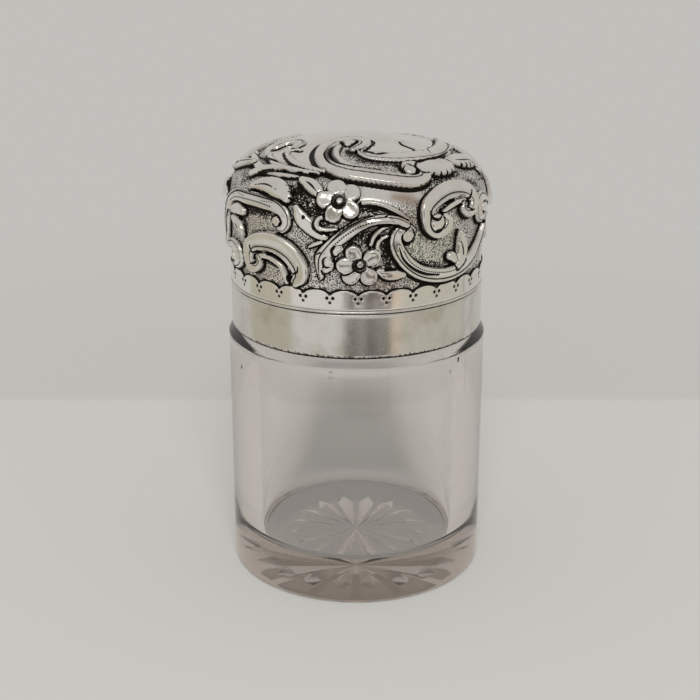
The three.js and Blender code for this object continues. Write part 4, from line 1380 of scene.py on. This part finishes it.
def front_softbox():
    data = bpy.data.lights.new("front_softbox", "AREA")
    data.shape = "RECTANGLE"
    data.size, data.size_y = (0.5, 0.4)
    data.energy = 13.0
    data.color = (1.0, 0.98, 0.95)
    lamp = bpy.data.objects.new("front_softbox", data)
    lamp.location = LAMP_PLACE
    lamp.rotation_euler = (LAMP_AIM - LAMP_PLACE).to_track_quat("-Z", "Y").to_euler()
    lamp.visible_glossy = False
    lamp.visible_transmission = False
    bpy.context.scene.collection.objects.link(lamp)


front_softbox()

# %% [markdown]
# Silver looks like silver only when it has light and dark things to mirror. In the photograph these
# are the table and the room in front of the jar: something low, dark and brown just before it, a
# darker room behind the camera, and pale or yellowish walls at the sides. Each is a card here, as in a
# studio, that only mirror rays see, with soft edges.


# %% Cards for the silver to mirror
def card_finish(name, colour, streaks):
    mix = Recipe(name)
    glow = mix.node("ShaderNodeEmission", {"Color": (*colour, 1)}).outputs[0]
    clear = mix.node("ShaderNodeBsdfTransparent").outputs[0]
    cover = mix.attribute("cover")
    if streaks:
        grain = mix.noise(4.0, stretch=(1, 1, 0.1), detail=2.0)
        cover = mix.times(cover, mix.between(grain, 0.35, 0.6, 1 - streaks, 1.0))
    mix.shows(cover, clear, glow)
    return mix.material


def card(name, turns, radius, heights, colour, soft=4.0, soft_top=0.3, streaks=0.0):
    """A curved card round the jar. turns are degrees from the front, towards the right."""
    start, end = (math.radians(turn) for turn in turns)
    foot, top = heights
    bm = bmesh.new()
    cover = bm.verts.layers.float.new("cover")
    place = (radius * math.sin(start), -radius * math.cos(start))
    verts = [bm.verts.new((*place, height)) for height in np.linspace(foot, top, 25)]
    edges = [bm.edges.new(pair) for pair in zip(verts, verts[1:])]
    bmesh.ops.spin(bm, geom=verts + edges, cent=(0, 0, 0), axis=(0, 0, 1), angle=end - start, steps=48)
    for vert in bm.verts:
        turn = start + (math.atan2(vert.co.x, -vert.co.y) - start) % math.tau
        side = eased(np.array(min(turn - start, end - turn) / math.radians(soft)))
        vert[cover] = side * eased(np.array((top - vert.co.z) / ((top - foot) * soft_top)))
    piece = as_object(name, bm)
    piece.data.materials.append(card_finish(name, colour, streaks))
    for ray in ("camera", "diffuse", "transmission", "volume_scatter", "shadow"):
        setattr(piece, "visible_" + ray, False)


card("dark_low_card", (-12, 31), 0.12, (0, 0.045), (0.10, 0.085, 0.07), soft_top=0.5, streaks=0.35)
card("beige_card", (-104, -54), 0.125, (0, 0.12), (0.47, 0.435, 0.36), soft=2.0)
card("bright_card", (-56, -8), 0.13, (0, 0.12), (0.63, 0.615, 0.59), soft=3.0)
card("peach_card", (26, 37), 0.118, (0, 0.05), (0.62, 0.52, 0.42), soft=3.0)
card("yellow_card", (35, 103), 0.13, (0, 0.12), (0.51, 0.49, 0.425))
card("dark_edge_card", (102, 105), 0.12, (0, 0.12), (0.15, 0.14, 0.12), soft=1.2)
card("window_card", (-35, 25), 1.4, (1.0, 1.7), (2.8, 2.74, 2.66), soft=12.0)
card("dark_room", (-45, 45), 0.6, (0.1, 0.45), (0.30, 0.28, 0.25), soft=15.0, soft_top=0.4)

# %% [markdown]
# The paper is one plain sheet. It could be lit until it looks right, but then the silver would be too
# bright, so its tone comes from its own colour. It keeps the soft shadow under and behind the jar, and
# it changes a little beyond the jar, as it does where a sheet starts to curve up.

# %% Paper
PAPER = (0.580, 0.570, 0.545)
PAPER_FOLD = 0.083
PAPER_BELOW = 0.0001


def paper():
    mix = Recipe("paper")
    spot = mix.node("ShaderNodeTexCoord").outputs["Object"]
    split = mix.node("ShaderNodeSeparateXYZ", {0: spot})
    back = split.outputs["Y"]
    tone = mix.blend(mix.between(back, PAPER_FOLD - 0.002, PAPER_FOLD + 0.002), PAPER, BACKDROP)
    mix.done({"Base Color": tone, "Roughness": 1.0, "Specular IOR Level": 0.0})
    away = mix.node("ShaderNodeVectorMath", {0: spot}, operation="LENGTH").outputs["Value"]
    beside = mix.between(mix.maths("ABSOLUTE", split.outputs["X"]), 0.012, 0.026)
    beside = mix.larger(beside, mix.between(back, 0.14, 0.17))
    beside = mix.larger(beside, mix.between(back, 0.03, 0.05, 1.0, 0.0))
    even = mix.times(mix.between(away, 0.03, 0.30, 0.34, 1.0), mix.larger(beside, 0.15))
    glow = mix.node("ShaderNodeEmission", {"Color": tone}).outputs[0]
    mix.shows(mix.times(even, seen_rays(mix)), mix.surface.outputs["BSDF"], glow)
    return mix.material


def paper_sheet():
    bm = bmesh.new()
    bmesh.ops.create_grid(bm, x_segments=2, y_segments=2, size=3.0)
    bmesh.ops.translate(bm, verts=bm.verts, vec=(0, 0, -PAPER_BELOW))
    piece = as_object("paper_sheet", bm)
    piece.data.materials.append(paper())


paper_sheet()
bpy.context.scene.view_settings.view_transform = "Standard"
